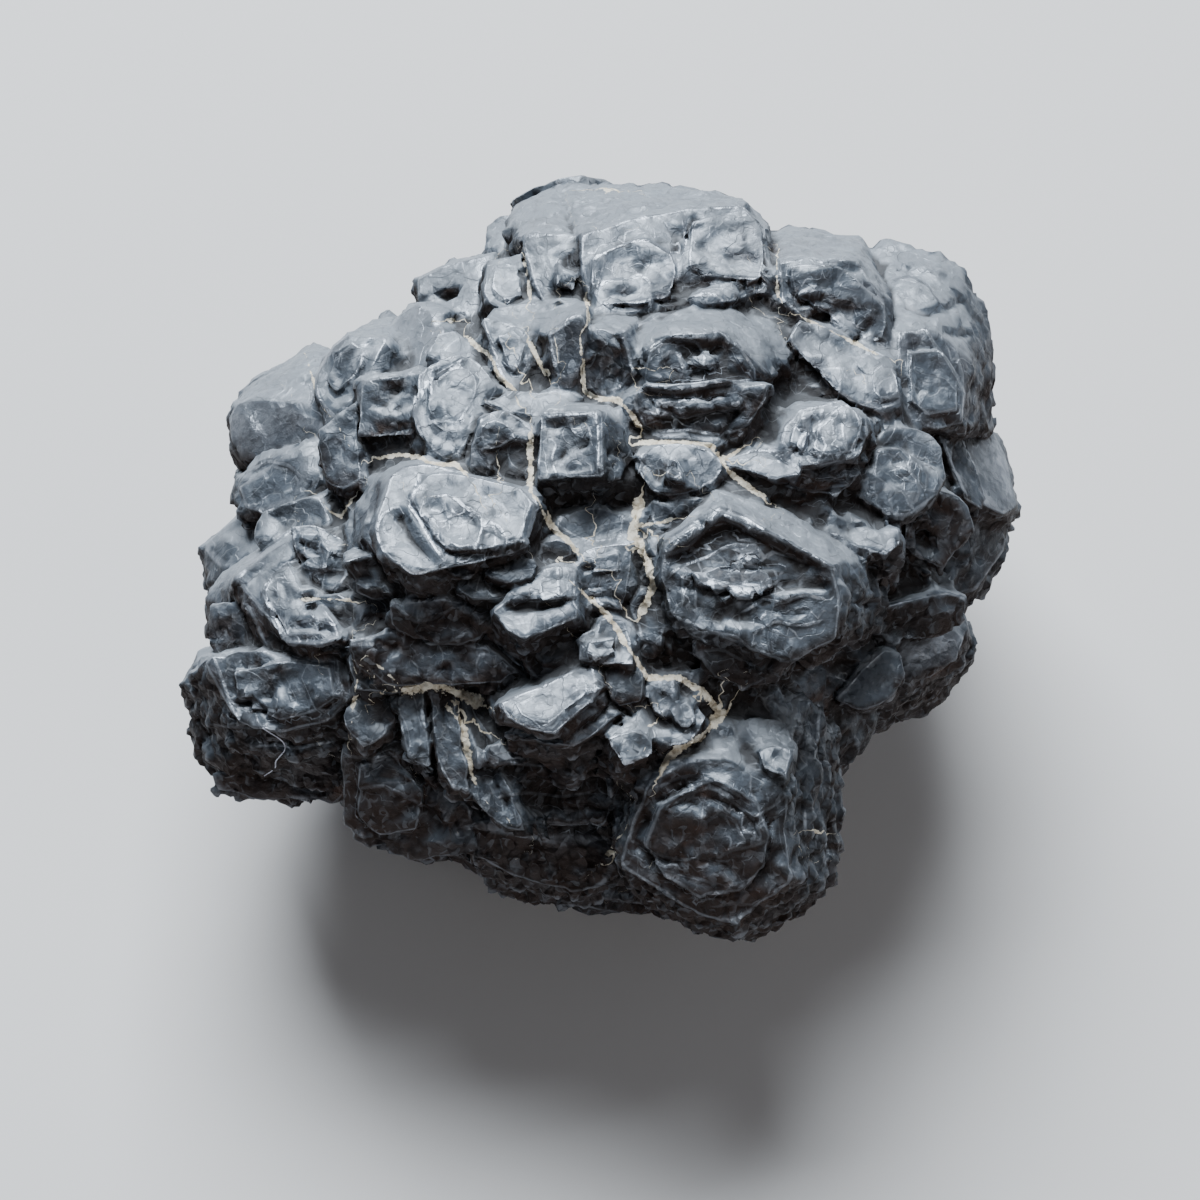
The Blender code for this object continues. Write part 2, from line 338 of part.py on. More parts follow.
def far_blocks():
    """Way out, width, length, twist, lift, lean and chamfer of each block of the far side and underside."""
    chance = random.Random(11)
    placed = []
    # The blocks that the stone lies on.
    for azimuth, elevation, size, twist, lift in (
        (22, -58, 8.0, 20, 1.7), (88, -60, 7.4, 55, 1.6), (150, -57, 8.4, 10, 1.5),
        (212, -59, 7.6, 70, 1.7), (268, -58, 7.8, 35, 1.6), (325, -57, 7.0, 80, 1.6),
    ):
        placed.append((unit(azimuth, elevation), size))
        yield unit(azimuth, elevation), size, size * 0.9, twist, lift, (0.0, 0.0, -0.9), 1.1
    # Then large blocks, each as far as it can be from the others, and small ones in the gaps that they leave.
    for count, least, most, low, high in ((36, 6.6, 9.4, -0.7, 0.6), (42, 3.6, 5.6, -0.2, 0.7)):
        for _ in range(count):
            size = chance.uniform(least, most)
            best, room = None, -1e9
            for _ in range(60):
                way = np.array([chance.gauss(0, 1) for _ in range(3)])
                way /= np.linalg.norm(way)
                gap = min((math.acos(min(1.0, way @ w)) * 18 - s * 0.5 for w, s in placed))
                if way @ TOWARDS < FAR_SIDE and gap > room:
                    best, room = way, gap
            placed.append((best, size))
            sunk = 1.3 if best[2] < -0.7 else 0.0
            yield (best, size, size * chance.uniform(0.72, 1.0), chance.uniform(0, 90),
                   chance.uniform(low, high) - sunk, [chance.uniform(-0.2, 0.2) for _ in range(3)], chance.uniform(0.4, 1.5))


def far_crystal(out, wide, long, twist, lift, lean, chamfer):
    """The corners of one block of the far side, pointing away from the middle of the stone."""
    radius = body_radius(out)
    facing = Vector(out + 0.35 * (out - np.array((0.0, 0.0, 0.25)))).normalized() + Vector(lean)
    turn = facing.to_track_quat("Z", "Y").to_matrix() @ Matrix.Rotation(math.radians(twist), 3, "Z")
    top = out * (radius + lift)
    ring = []
    for sx, sy in ((1, 1), (-1, 1), (-1, -1), (1, -1)):
        ring += [(sx * wide / 2, sy * (long / 2 - chamfer)), (sx * (wide / 2 - chamfer), sy * long / 2)]
    corners = [turn @ Vector((x, y, 0)) for x, y in ring]
    corners += [turn @ Vector((x * 1.12, y * 1.12, -2.2)) for x, y in ring]
    corners += [turn @ Vector((x * 0.9, y * 0.9, -7.0)) for x, y in ring]
    corners = np.array(corners) + top + BODY_MIDDLE
    # A block that would show past the drawn outline is pushed back under it.
    while max(drawn(corner) for corner in corners) > 0.97:
        corners = corners - 0.3 * out
    return corners


def core_points():
    """The core: the body drawn in by CORE_INSET, closed over the far side."""
    shrink = 1 - CORE_INSET / (BODY_DEPTH + 2)
    points = []
    for share in (0.0, 0.35, 0.6, 0.8, 0.93, 1.0):
        for k in range(1 if share == 0 else 20):
            angle = 2 * math.pi * k / 20
            radius = RADII[int(angle / (2 * math.pi) * len(RADII)) % len(RADII)] * share * shrink
            px, py = BODY_CENTRE[0] + radius * math.cos(angle), BODY_CENTRE[1] - radius * math.sin(angle)
            points.append(on_plane(px, py, body_height(px, py) - CORE_INSET))
    for elevation in (-90, -62, -35, -8, 20, 48):
        for k in range(1 if elevation == -90 else 14):
            way = unit(360 * k / 14, elevation)
            if way @ TOWARDS < 0.1:
                points.append(BODY_MIDDLE + way * (body_radius(way) - CORE_INSET))
    return np.array(points)


BODY_MIDDLE = on_plane(*BODY_CENTRE, 0.0)


def hull_object(name, corners, collection, material):
    """A closed convex solid round these corners (millimetres), as an object."""
    shape = bmesh.new()
    for corner in corners:
        shape.verts.new(Vector(corner) * MM)
    made = bmesh.ops.convex_hull(shape, input=shape.verts)
    loose = {v for v in made["geom_interior"] + made["geom_unused"] if isinstance(v, bmesh.types.BMVert)}
    bmesh.ops.delete(shape, geom=list(loose), context="VERTS")
    bmesh.ops.dissolve_limit(shape, angle_limit=math.radians(1.0), verts=shape.verts, edges=shape.edges)
    bmesh.ops.recalc_face_normals(shape, faces=shape.faces)
    mesh = bpy.data.meshes.new(name)
    shape.to_mesh(mesh)
    shape.free()
    mesh.materials.append(material)
    made = bpy.data.objects.new(name, mesh)
    collection.objects.link(made)
    return made


def block_object(name, size, middle, collection):
    shape = bmesh.new()
    bmesh.ops.create_cube(shape, size=1.0)
    bmesh.ops.scale(shape, vec=Vector(size) * MM, verts=shape.verts)
    bmesh.ops.translate(shape, vec=Vector(middle) * MM, verts=shape.verts)
    mesh = bpy.data.meshes.new(name)
    shape.to_mesh(mesh)
    shape.free()
    made = bpy.data.objects.new(name, mesh)
    collection.objects.link(made)
    return made


def settle(stone):
    """Makes the joined shape the stone's own mesh, and fills the closed pockets left between crystals."""
    bpy.context.view_layer.update()
    graph = bpy.context.evaluated_depsgraph_get()
    joined = bpy.data.meshes.new_from_object(stone.evaluated_get(graph))
    stone.modifiers.clear()
    stone.data = joined
    shape = bmesh.new()
    shape.from_mesh(joined)
    left = set(shape.verts)
    islands = []
    while left:
        island, edge = set(), [left.pop()]
        while edge:
            vertex = edge.pop()
            island.add(vertex)
            for link in vertex.link_edges:
                other = link.other_vert(vertex)
                if other in left:
                    left.remove(other)
                    edge.append(other)
        islands.append(island)
    biggest = max(islands, key=len)
    bmesh.ops.delete(shape, geom=[v for island in islands if island is not biggest for v in island], context="VERTS")
    shape.to_mesh(joined)
    shape.free()


def stone_material():
    material = bpy.data.materials.new("dark_iron_stone")
    material.use_nodes = True
    surface = material.node_tree.nodes["Principled BSDF"]
    surface.inputs["Base Color"].default_value = STONE_COLOUR
    surface.inputs["Roughness"].default_value = STONE_ROUGHNESS
    surface.inputs["Metallic"].default_value = STONE_METALLIC
    material.diffuse_color = STONE_COLOUR
    return material


def helper_collection(name):
    collection = bpy.data.collections.new(name)
    bpy.context.scene.collection.children.link(collection)
    collection.hide_render = True
    return collection


def main():
    for old in list(bpy.data.objects):
        bpy.data.objects.remove(old)
    material = stone_material()
    grown = helper_collection("crystals")
    cutters = helper_collection("cutters")

    for crystal in CRYSTALS:
        hull_object("crystal_" + crystal["name"], seen_crystal(crystal), grown, material)
        for outline, height in crystal["plates"]:
            if height > PLATE_LEAST:
                hull_object("plate_" + crystal["name"], cap_plate(crystal, outline, height), grown, material)
    for number, block in enumerate(far_blocks()):
        hull_object(f"far_crystal_{number:02d}", far_crystal(*block), grown, material)
    stone = hull_object("stone", core_points(), bpy.context.scene.collection, material)

    corners = np.array([tuple(v.co) for o in grown.objects for v in o.data.vertices])
    floor = corners[:, 2].min() + REST_TRIM * MM
    middle = (corners.min(axis=0) + corners.max(axis=0)) / 2

    trim = block_object("rest_trim", (90, 90, 20), (0, 0, floor / MM - 10), cutters)
    for helper in list(grown.objects) + [trim]:
        helper.hide_render = True
        helper.display_type = "WIRE"

    join = stone.modifiers.new("grown together", "BOOLEAN")
    join.operation = "UNION"
    join.solver = "EXACT"
    join.operand_type = "COLLECTION"
    join.collection = grown
    cut = stone.modifiers.new("worn rest facets", "BOOLEAN")
    cut.operation = "DIFFERENCE"
    cut.solver = "EXACT"
    cut.object = trim
    settle(stone)

    # The stone's frame: the middle of its box over the origin, and the rest facets on the ground.
    shift = Matrix.Translation((-middle[0], -middle[1], -floor))
    stone.data.transform(shift)
    for helper in list(grown.objects) + [trim]:
        helper.data.transform(shift)
    bpy.context.view_layer.update()


main()
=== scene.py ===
"""Finish of a rounded cluster of intergrown crystals: its stepped, pitted surface, its colours, silt and light.

The crystals are the ones of the solid: outlines on a drawing plane square to the line of sight for the seen side,
and blocks for the far side. Here they are joined as a distance field, with growth steps, pits, wrinkles and cracks,
and the field is turned into one closed mesh.
"""

import math
import random
import time
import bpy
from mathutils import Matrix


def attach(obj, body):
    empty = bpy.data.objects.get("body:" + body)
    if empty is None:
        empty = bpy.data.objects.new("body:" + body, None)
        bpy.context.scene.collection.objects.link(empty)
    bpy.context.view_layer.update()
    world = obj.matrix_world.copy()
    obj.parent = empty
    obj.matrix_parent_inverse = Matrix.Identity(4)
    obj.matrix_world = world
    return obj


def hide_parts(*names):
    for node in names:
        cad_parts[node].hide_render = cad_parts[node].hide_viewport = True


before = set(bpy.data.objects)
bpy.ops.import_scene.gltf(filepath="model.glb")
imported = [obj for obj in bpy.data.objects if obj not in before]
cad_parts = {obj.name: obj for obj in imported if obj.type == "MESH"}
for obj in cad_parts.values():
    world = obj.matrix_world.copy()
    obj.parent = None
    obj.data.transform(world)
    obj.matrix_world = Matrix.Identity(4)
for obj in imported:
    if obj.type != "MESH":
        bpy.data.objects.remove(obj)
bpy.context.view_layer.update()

from concurrent.futures import ThreadPoolExecutor

import bmesh
import bpy
import numpy as np
from mathutils import Matrix, Vector

STARTED = time.time()
MM = 0.001
STEP = 0.12  # spacing of the distance field, mm
MOST_TRIANGLES = 196_000

# ---- driving dimensions (millimetres and degrees), as the solid has them
DRAWING_UNIT = 0.0510
DRAWING_CENTRE = (600.0, 600.0)
VIEW_ELEVATION = 52.0
VIEW_DISTANCE = 170.0
BODY_CENTRE = (598.0, 562.0)
BODY_DEPTH = 17.0
BODY_LEAN = -0.17
BODY_FULLNESS = 2.3
WAIST_REACH = 7.0
CORE_INSET = 1.9
FAR_DEPTH = 15.5
FAR_TAPER = 0.08
FAR_SIDE = 0.16
REST_TRIM = 1.3

# ---- the outline of the stone on the drawing plane
OUTLINE = [
    (483, 250), (485, 222), (512, 200), (532, 188), (555, 183), (605, 180), (655, 180), (680, 189), (725, 194),
    (755, 207), (768, 232), (800, 228), (862, 243), (885, 243), (910, 250), (940, 247), (960, 265), (985, 305),
    (990, 320), (990, 420), (1000, 440), (1012, 480), (1018, 505), (1008, 530), (1000, 555), (985, 570), (975, 600),
    (965, 620), (970, 640), (960, 660), (945, 685), (925, 705), (890, 725), (842, 732), (842, 820), (836, 860),
    (825, 895), (800, 915), (780, 930), (740, 950), (700, 950), (640, 930), (600, 915), (540, 895), (470, 878),
    (400, 862), (360, 845), (335, 805), (300, 808), (250, 800), (215, 790), (203, 765), (190, 735), (180, 700),
    (182, 680), (195, 640), (205, 600), (203, 545), (222, 523), (240, 512), (232, 460), (228, 430), (232, 410),
    (245, 385), (265, 368), (300, 346), (335, 344), (355, 328), (372, 316), (395, 316), (417, 298), (420, 278),
    (450, 267),
]


# ---- the crystals of the seen side
# Each has a name, the lift of its cap over the rounded body (mm), the cap's lean (to the right, up the drawing),
# its depth (mm), the cap's outline, the outline of its waist where that shows, and plates that stand on the cap.
CRYSTALS = []


def points_of(words):
    return [tuple(float(value) for value in pair.split(",")) for pair in words.split()]


def crystal(name, lift, lean, depth, cap, waist=None, plates=(), surface="smooth", flare=1.12):
    CRYSTALS.append({
        "name": name, "lift": lift, "n": lean, "depth": depth, "cap": points_of(cap),
        "root": points_of(waist) if waist else None, "plates": [(points_of(p), h) for p, h in plates],
        "surface": surface, "flare": flare,
    })


# ---- top
crystal("top_block", 1.6, (.08, .50), 6, "583,236 640,217 690,208 745,206 766,230 770,262 762,288 735,299 690,307 640,313 598,317 590,290 583,262",
  "520,262 510,230 530,205 565,184 600,182 655,180 680,188 742,197 768,224 778,262 770,300 735,318 600,328 575,300",
  [("600,259 627,245 650,239 664,248 668,262 675,268 676,285 672,302 662,306 598,312 592,300 592,266", .35),
   ("602,290 604,282 620,279 640,275 652,287 662,300 656,306 640,309 600,312", .35),
   ("684,223 745,210 764,232 768,262 760,286 735,282 700,283 684,275", .45),
   ("690,302 700,292 715,289 722,296 740,295 735,305 700,309", .4)], "wr")
crystal("top_block_left", .9, (-.2, .48), 5, "529,234 574,236 583,262 585,300 560,300 545,302 538,295 528,264 522,245",
  "500,222 512,204 560,183 600,184 605,240 590,310 545,312 524,290", (), "str")
crystal("top_knob", .3, (-.5, .6), 5, "484,226 497,215 511,213 514,240 521,254 495,259 483,252", None, (), "sm")
crystal("notch_cube", 1.1, (0, .5), 2.5, "558,264 570,261 582,268 582,285 574,292 558,290", None, (), "sm", flare=1.05)
crystal("upper_left_a", .9, (-.42, .5), 5, "420,279 455,263 487,257 483,290 474,309 445,315 419,329",
  "416,280 455,258 500,252 500,300 478,318 440,330 414,335",
  [("437,292 447,288 459,287 457,294 446,298", -.6)], "sm")
crystal("upper_left_b", 1.3, (.1, .62), 4.5, "489,258 519,255 527,272 531,298 512,310 494,304 483,292", None,
  [("495,266 515,262 521,280 522,296 508,303 497,297 491,286", .12)], "sm")
crystal("left_shoulder", .6, (-.62, .48), 6, "367,374 376,352 388,332 402,312 418,302 421,330 442,322 441,350 424,369 400,372",
  "360,380 385,330 418,296 455,300 455,360 430,385", (), "sm")
crystal("step_a", .5, (-.1, .5), 3, "424,354 438,331 455,328 468,340 487,353 495,372 480,378 455,362", None, (), "sm")
crystal("step_b", .9, (.02, .42), 3, "480,319 500,322 512,322 520,333 532,347 527,372 517,391 503,376 494,356 486,340", None,
  [("497,340 512,332 527,348 522,372 514,380 505,368", .25)], "sm")
crystal("step_c", .9, (0, .7), 3, "494,307 531,302 546,305 535,318 520,325 508,322 490,315", None, (), "sm")
crystal("wedge_a", 1.4, (-.3, .05), 4.5, "549,338 584,313 588,328 580,345 579,376 568,385 556,375 551,356",
  "514,322 545,304 580,297 592,300 592,330 584,388 560,392 543,378 532,345", (), "sm")
crystal("dark_face", 1.3, (-.32, -.1), 4, "581,332 602,329 622,336 629,350 632,372 620,389 600,395 585,385 579,350",
  "580,328 600,320 640,318 650,380 622,398 585,392 575,350", (), "pit")
crystal("crown_block", 2.3, (.04, 0), 5, "650,348 672,335 720,329 738,345 758,366 768,383 735,388 700,391 660,393 645,386 652,366",
  "627,336 640,318 680,302 740,302 790,325 800,352 790,372 770,392 735,398 690,400 640,396 632,374",
  [("668,347 700,340 722,343 735,360 748,378 700,384 672,382 662,366", -.25), ("690,350 712,346 722,362 716,376 697,374 684,362", .3)], "wr")
crystal("crown_block_low", 1.7, (0, -.12), 4, "632,394 648,386 700,393 768,384 764,402 750,424 717,440 690,432 652,433 639,413",
  "630,392 660,380 740,380 775,384 770,410 752,430 718,445 650,438 636,415",
  [("650,398 700,402 745,398 738,416 700,420 655,415", .2)], "wr")
crystal("right_slope", .8, (.22, .45), 4, "800,316 835,328 860,342 890,356 898,372 902,402 880,408 850,400 822,374 803,355 790,335", None,
  [("868,372 880,362 896,372 900,398 882,402 872,392", .2)], "sm")
crystal("slope_cube", 1.15, (.28, .25), 3, "879,379 892,373 903,379 903,402 893,407 879,402", None, (), "sm", flare=1.03)
crystal("right_crown", 1.7, (.18, .22), 4, "779,263 800,259 858,259 868,285 882,302 889,328 884,345 872,346 850,338 832,324 812,315 799,311 782,297",
  "770,230 790,223 818,228 836,235 862,239 876,262 894,292 897,312 892,338 880,350 850,345 800,318 776,300",
  [("785,265 815,262 838,263 848,276 866,290 884,306 888,326 884,342 872,344 856,338 846,322 828,300 812,290 790,292", .3),
   ("812,268 836,266 844,280 852,292 840,296 828,288 815,284", .22)], "wr")
crystal("far_right_block", 1.8, (.38, .25), 6, "898,332 935,330 956,350 965,378 966,424 940,430 915,420 903,402 899,370",
  "866,250 885,240 912,249 942,246 962,266 985,303 991,330 989,400 993,432 962,442 905,415 892,330",
  [("905,350 935,352 955,375 957,415 930,420 910,405", .2)], "sm")
crystal("far_right_top", .9, (.25, .62), 6, "880,262 905,254 938,257 958,285 962,318 935,320 905,305 886,290", None,
  [("896,264 930,262 945,285 935,300 908,292", .4), ("942,310 962,312 964,330 946,334", .4)], "sm")
# ---- right
crystal("right_cap", 2.0, (0, .42), 4, "783,427 800,411 840,402 864,418 867,432 858,455 835,461 806,469 791,456 780,441",
  "762,445 788,404 845,398 878,414 888,440 880,468 850,484 800,492 772,470",
  [("815,434 836,409 845,404 863,419 858,440 850,455 828,460 810,452", .25), ("790,428 812,416 808,440 800,455 788,444", .18)], "wr")
crystal("right_cap_step", 1.3, (0, .38), 3, "792,470 850,463 862,470 850,487 838,501 818,493 800,492 786,482", None,
  [("800,474 846,467 842,480 806,486", .2)], "wr")
crystal("slab_left", 1.1, (-.02, .58), 2.5, "722,459 745,451 776,448 792,461 801,473 775,479 750,471 730,464", None, (), "sm")
crystal("slab_low", .9, (.05, .45), 3, "752,478 790,484 815,495 830,505 845,525 870,530 898,526 900,545 884,556 850,545 800,512 770,498", None, (), "wr")
crystal("arc_cap", 1.9, (.34, .28), 5, "868,438 892,426 918,427 937,436 946,452 949,478 938,498 925,508 910,520 898,524 882,512 868,500 860,480 862,455",
  None,
  [("872,446 900,447 925,460 940,470 946,482 940,496 925,507 908,519 893,521 878,508 868,495", .18),
   ("878,458 905,466 920,478 926,492 915,507 900,514 885,505 873,486", .18),
   ("882,478 898,482 911,494 908,505 896,508 884,498", .18)], "sm")
crystal("right_rim", .9, (.72, .25), 5, "941,436 952,431 965,440 978,465 990,500 985,511 968,500 958,480 948,455", None, (), "pit")
crystal("right_edge", .3, (.72, .42), 6, "962,440 985,438 1002,450 1010,480 1016,503 1003,514 992,509 985,482 975,458",
  "955,436 990,430 1006,448 1014,480 1018,505 1011,535 990,530 960,500", (), "sm")
crystal("right_edge_low", -.3, (.75, -.1), 6, "963,548 985,535 1007,528 1003,548 986,573 972,590 956,578",
  "945,540 985,510 1010,520 1008,545 990,578 972,604 945,600", (), "sm")
crystal("dark_pit_face", 1.2, (.42, -.12), 4, "905,522 931,487 958,495 972,508 976,532 957,546 945,566 925,560 903,548", None,
  [("918,532 932,530 938,550 930,556 918,548", -.8), ("912,515 928,508 930,520 914,524", .3)], "pit")
crystal("under_right", .5, (.4, -.42), 5, "880,606 905,610 950,590 970,596 966,620 932,640 890,642 868,630", None, (), "wr")
crystal("big_block", 3.0, (0, .04), 5, "667,546 722,509 760,527 832,566 842,600 838,638 800,658 786,662 764,646 739,626 719,611 688,609 669,615 661,580",
  "658,545 668,530 700,503 722,482 760,493 800,511 852,543 882,562 888,600 880,630 840,643 790,668 764,683 739,697 706,678 680,646 664,620",
  [("676,556 722,520 758,537 822,568 832,600 826,632 790,650 742,612 700,600 673,602 668,580", -.4),
   ("690,572 722,556 745,546 757,548 765,562 790,576 782,592 745,602 700,592", .35),
   ("738,582 768,570 790,568 800,577 782,586 762,590", .35),
   ("722,560 745,547 748,566 730,582 716,584", .3)], "wr")
crystal("big_block_low", 2.2, (-.08, -.45), 4, "684,626 720,618 760,650 784,668 740,693 712,677 692,656", None, (), "lay")
crystal("right_heel", .6, (.4, .1), 7, "895,647 927,643 952,630 963,638 957,661 918,664",
  "850,700 880,640 960,612 975,640 966,672 932,712 882,731 845,729", (), "sm")
crystal("right_heel_b", .5, (.1, .15), 4, "832,700 850,684 880,668 884,650 900,652 905,676 890,700 860,712", None, (), "sm")
# ---- bottom
crystal("foot_block", 2.6, (-.04, -.2), 8, "618,866 632,822 650,781 690,760 725,764 780,783 789,800 791,840 796,880 765,893 740,906 735,925 715,918 702,915 660,893 640,880",
  "616,868 630,812 655,766 690,737 730,702 790,692 842,722 843,830 835,880 820,902 790,925 742,943 690,936 650,905",
  [("655,801 700,776 722,776 760,800 775,835 770,870 745,890 700,900 660,880 640,850", .3),
   ("664,806 700,790 735,800 756,825 758,850 730,866 690,862 666,846", .3),
   ("690,806 720,803 740,820 745,838 715,852 690,842", .3)], "lay")
crystal("foot_block_top", 1.7, (.08, .5), 5, "690,757 718,743 728,724 750,716 782,722 796,750 785,785 765,777 740,769 720,762", None,
  [("755,752 772,748 793,752 786,780 762,772", .3)], "sm")
crystal("lip_block", 2.1, (.02, .5), 4, "500,705 514,698 550,686 582,666 597,668 601,686 593,697 571,715 554,734 529,730 511,722",
  "490,712 512,690 560,672 590,655 612,664 622,700 604,722 574,749 520,742 498,724",
  [("512,706 550,692 584,674 590,690 566,711 550,726 530,724 514,716", .12)], "sm")
crystal("lip_block_step", 1.6, (.02, .5), 4, "507,731 529,738 557,742 574,748 588,738 604,721 619,711 615,693 601,688 593,700 571,718 554,736 530,732 511,724", None, (), "sm")
crystal("lip_bar", 1.0, (0, .3), 3, "478,746 503,744 506,756 546,752 540,764 478,764", None, (), "sm")
crystal("small_lip", 1.8, (.12, .38), 3.5, "607,737 640,727 652,737 656,753 623,767", None, (), "sm")
crystal("mid_lump", .6, (.05, .4), 4, "640,690 665,680 690,700 706,715 692,740 666,746 650,730 642,710", None,
  [("650,690 664,690 670,706 664,722 652,712", .3), ("674,704 690,706 696,722 684,732 672,724", .3)], "wr")
crystal("recess_back", -.9, (0, -.3), 4, "478,764 545,764 600,770 618,790 600,826 560,828 520,820 500,798", None, (), "pit")
crystal("low_band", .9, (-.05, -.42), 6, "468,826 530,834 600,842 616,866 600,889 575,892 545,885 500,872 478,856", 
  "455,815 530,815 615,830 625,870 600,900 545,905 490,885 465,850", (), "pit")
crystal("fin_edge", 1.0, (-.3, .1), 3, "462,700 474,702 478,742 492,785 512,808 528,834 505,826 484,815 470,790 464,745", None, (), "sed")
# ---- left, centre
crystal("flower_block", 2.6, (-.08, .5), 5, "390,478 402,469 420,466 450,470 475,488 505,488 528,486 541,503 536,522 529,545 516,552 480,553 455,558 435,565 422,572 410,573 398,561 383,548 376,530 384,512 386,495",
  "343,556 350,512 375,475 400,462 450,462 500,480 535,480 549,505 543,545 520,570 490,590 440,608 400,603 360,588",
  [("420,478 450,473 475,490 505,490 526,488 538,503 533,522 527,545 515,550 480,551 450,556 440,548 425,525 412,512 407,503 415,490", .35),
   ("426,499 440,494 465,497 478,510 482,525 478,543 455,550 441,543 429,520", -.14),
   ("490,520 500,525 508,540 504,548 489,550 485,535", -.14),
   ("446,516 460,510 470,522 464,538 450,534", .1)], "sm")
crystal("flower_step_a", 1.9, (-.02, .42), 4, "476,566 488,561 534,556 540,566 533,579 508,583 492,579", None, (), "sm")
crystal("flower_step_b", 1.5, (-.02, .42), 4, "452,576 458,590 474,599 514,598 522,589 500,586 482,583 470,577", None, (), "sm")
crystal("flower_foot", 1.2, (-.15, -.3), 4, "345,562 376,552 400,572 430,578 455,575 452,600 425,612 385,604 356,592", None, (), "pit")
crystal("flower_foot_b", .9, (-.05, -.25), 4, "385,604 430,598 470,602 495,610 480,640 440,648 410,640 390,625", None, (), "pit")
crystal("flower_foot_c", .3, (-.05, -.1), 4, "350,640 400,632 450,645 500,650 520,670 500,684 440,684 390,684 360,668", None, (), "pit")
crystal("ledge_block", 1.7, (.04, .42), 4, "492,611 540,598 540,568 560,563 581,565 579,590 577,617 552,627 523,640 505,626",
  "486,612 530,590 535,560 585,556 592,590 594,632 560,652 524,668 500,650",
  [("506,607 560,601 577,599 580,567 561,565 542,570 542,597", .22)], "sm")
crystal("under_ledge", .5, (.05, -.2), 4, "520,655 560,642 592,630 600,650 590,668 560,676 530,676", None, (), "lay")
crystal("left_upper_block", 1.9, (0, .46), 4.5, "421,374 445,361 470,357 482,368 498,390 488,405 480,420 470,437 456,456 445,460 430,450 420,438 412,417 417,397", None,
  [("430,384 450,370 470,368 480,384 476,404 462,424 446,440 430,428 424,410", .15)], "wr")
crystal("left_upper_side", 1.6, (-.3, .22), 4, "360,383 420,376 417,397 412,417 420,437 400,436 375,440 358,436",
  "352,385 366,374 421,368 440,380 440,440 405,446 356,444", (), "crk")
crystal("round_dark", 1.5, (.02, .12), 4, "480,417 500,409 522,420 534,440 531,466 525,480 506,490 481,483 468,470 470,448", None,
  [("478,428 490,419 506,424 516,436 500,450 482,452", .3)], "wr")
crystal("flat_strip", .8, (0, .65), 3, "480,404 515,393 560,392 592,398 546,409 536,416 500,413", None, (), "sm")
crystal("cube", 2.3, (-.22, .32), 4, "541,413 603,409 606,474 537,478",
  "537,413 552,403 618,400 642,440 641,482 622,497 600,502 558,498 534,483",
  [("550,421 595,417 597,465 546,469", -.1)], "pitb")
crystal("mask_face", 1.1, (.08, .32), 4, "638,453 655,443 690,442 712,450 723,465 715,481 690,493 665,496 650,488 640,470", None,
  [("672,457 680,470 683,482 661,482 666,468", .4), ("650,462 664,462 662,480 650,480", -.15), ("686,462 700,464 700,480 686,480", -.12)], "sm")
crystal("mask_chin", .7, (.05, .1), 4, "655,498 680,496 700,500 690,520 665,530 650,520", None, (), "lay")
crystal("under_cube", .3, (0, .28), 4, "556,514 600,504 626,512 623,536 600,542 580,536 562,526", None, (), "sm")
crystal("centre_block", .8, (.12, .2), 4, "583,552 600,545 636,542 632,562 628,600 626,613 600,606 588,590 582,570", None,
  [("590,556 624,550 622,572 594,574", .18)], "str")
crystal("centre_small", .6, (.1, .1), 3, "541,540 560,536 576,545 572,560 545,564", None, (), "sm")
crystal("jaw_block", 1.0, (.02, .36), 4, "577,640 600,622 622,623 631,641 630,664 600,663 575,660", None,
  [("585,641 614,637 614,654 600,659 582,654", .22)], "sm")
crystal("pale_column", .5, (-.05, .3), 4, "632,606 655,590 662,620 659,646 641,641", None, (), "sed")
crystal("pale_lumps", .3, (0, .35), 4, "641,676 680,675 702,690 692,706 660,700", None, [("654,680 674,680 678,694 662,698", .3)], "sed")
crystal("mid_slab", .8, (.18, .15), 4, "602,667 628,652 641,675 641,702 619,706 604,692", None, (), "sm")
# ---- left side
crystal("far_left_hex", .6, (-.62, -.02), 7, "242,402 268,403 285,424 277,446 252,457 233,440 230,418",
  "228,420 240,395 258,375 284,362 306,345 336,346 324,372 316,400 330,440 290,460 248,480 234,470", (), "sm")
crystal("far_left_slab", .9, (-.5, .45), 6, "333,352 350,337 385,336 374,362 360,386 342,414 330,418 320,402 314,386",
  "330,347 350,334 366,322 379,314 396,316 392,350 370,395 345,420 325,420 310,392", [("340,356 356,345 372,348 356,378 336,396 326,384", .18)], "sm")
crystal("far_left_low", .2, (-.6, .22), 6, "240,488 262,470 292,456 306,472 296,500 264,514 246,506",
  "232,470 262,455 310,440 320,480 300,520 250,525 236,500", (), "wr")
crystal("left_column", .8, (-.42, .2), 4.5, "318,428 336,412 356,402 358,440 360,478 344,488 326,482 318,455", None, (), "wr")
crystal("left_post", .8, (-.25, .3), 4.5, "292,527 318,525 344,540 348,575 336,592 303,589 296,560", None, [("300,534 318,532 332,548 330,572 304,570", .2)], "crk")
crystal("left_wedge", .5, (-.6, .42), 6, "205,546 222,528 241,514 249,530 251,560 233,572 220,562",
  "202,552 240,510 265,520 270,570 218,602 204,588", (), "sm")
crystal("left_fill", .5, (-.4, .3), 4, "262,512 296,502 318,494 330,520 300,527 292,545 262,560 252,535", None, (), "wr")
crystal("left_block", 1.7, (-.42, .42), 5, "237,580 262,560 290,540 296,560 299,590 303,618 330,632 341,640 320,645 292,643 283,630 268,608 262,598 248,592",
  "205,602 224,572 290,532 302,545 346,638 342,652 290,652 250,680 216,662 205,632",
  [("292,563 275,577 265,593 272,610 292,641 328,641 303,620 297,595", .25)], "sm")
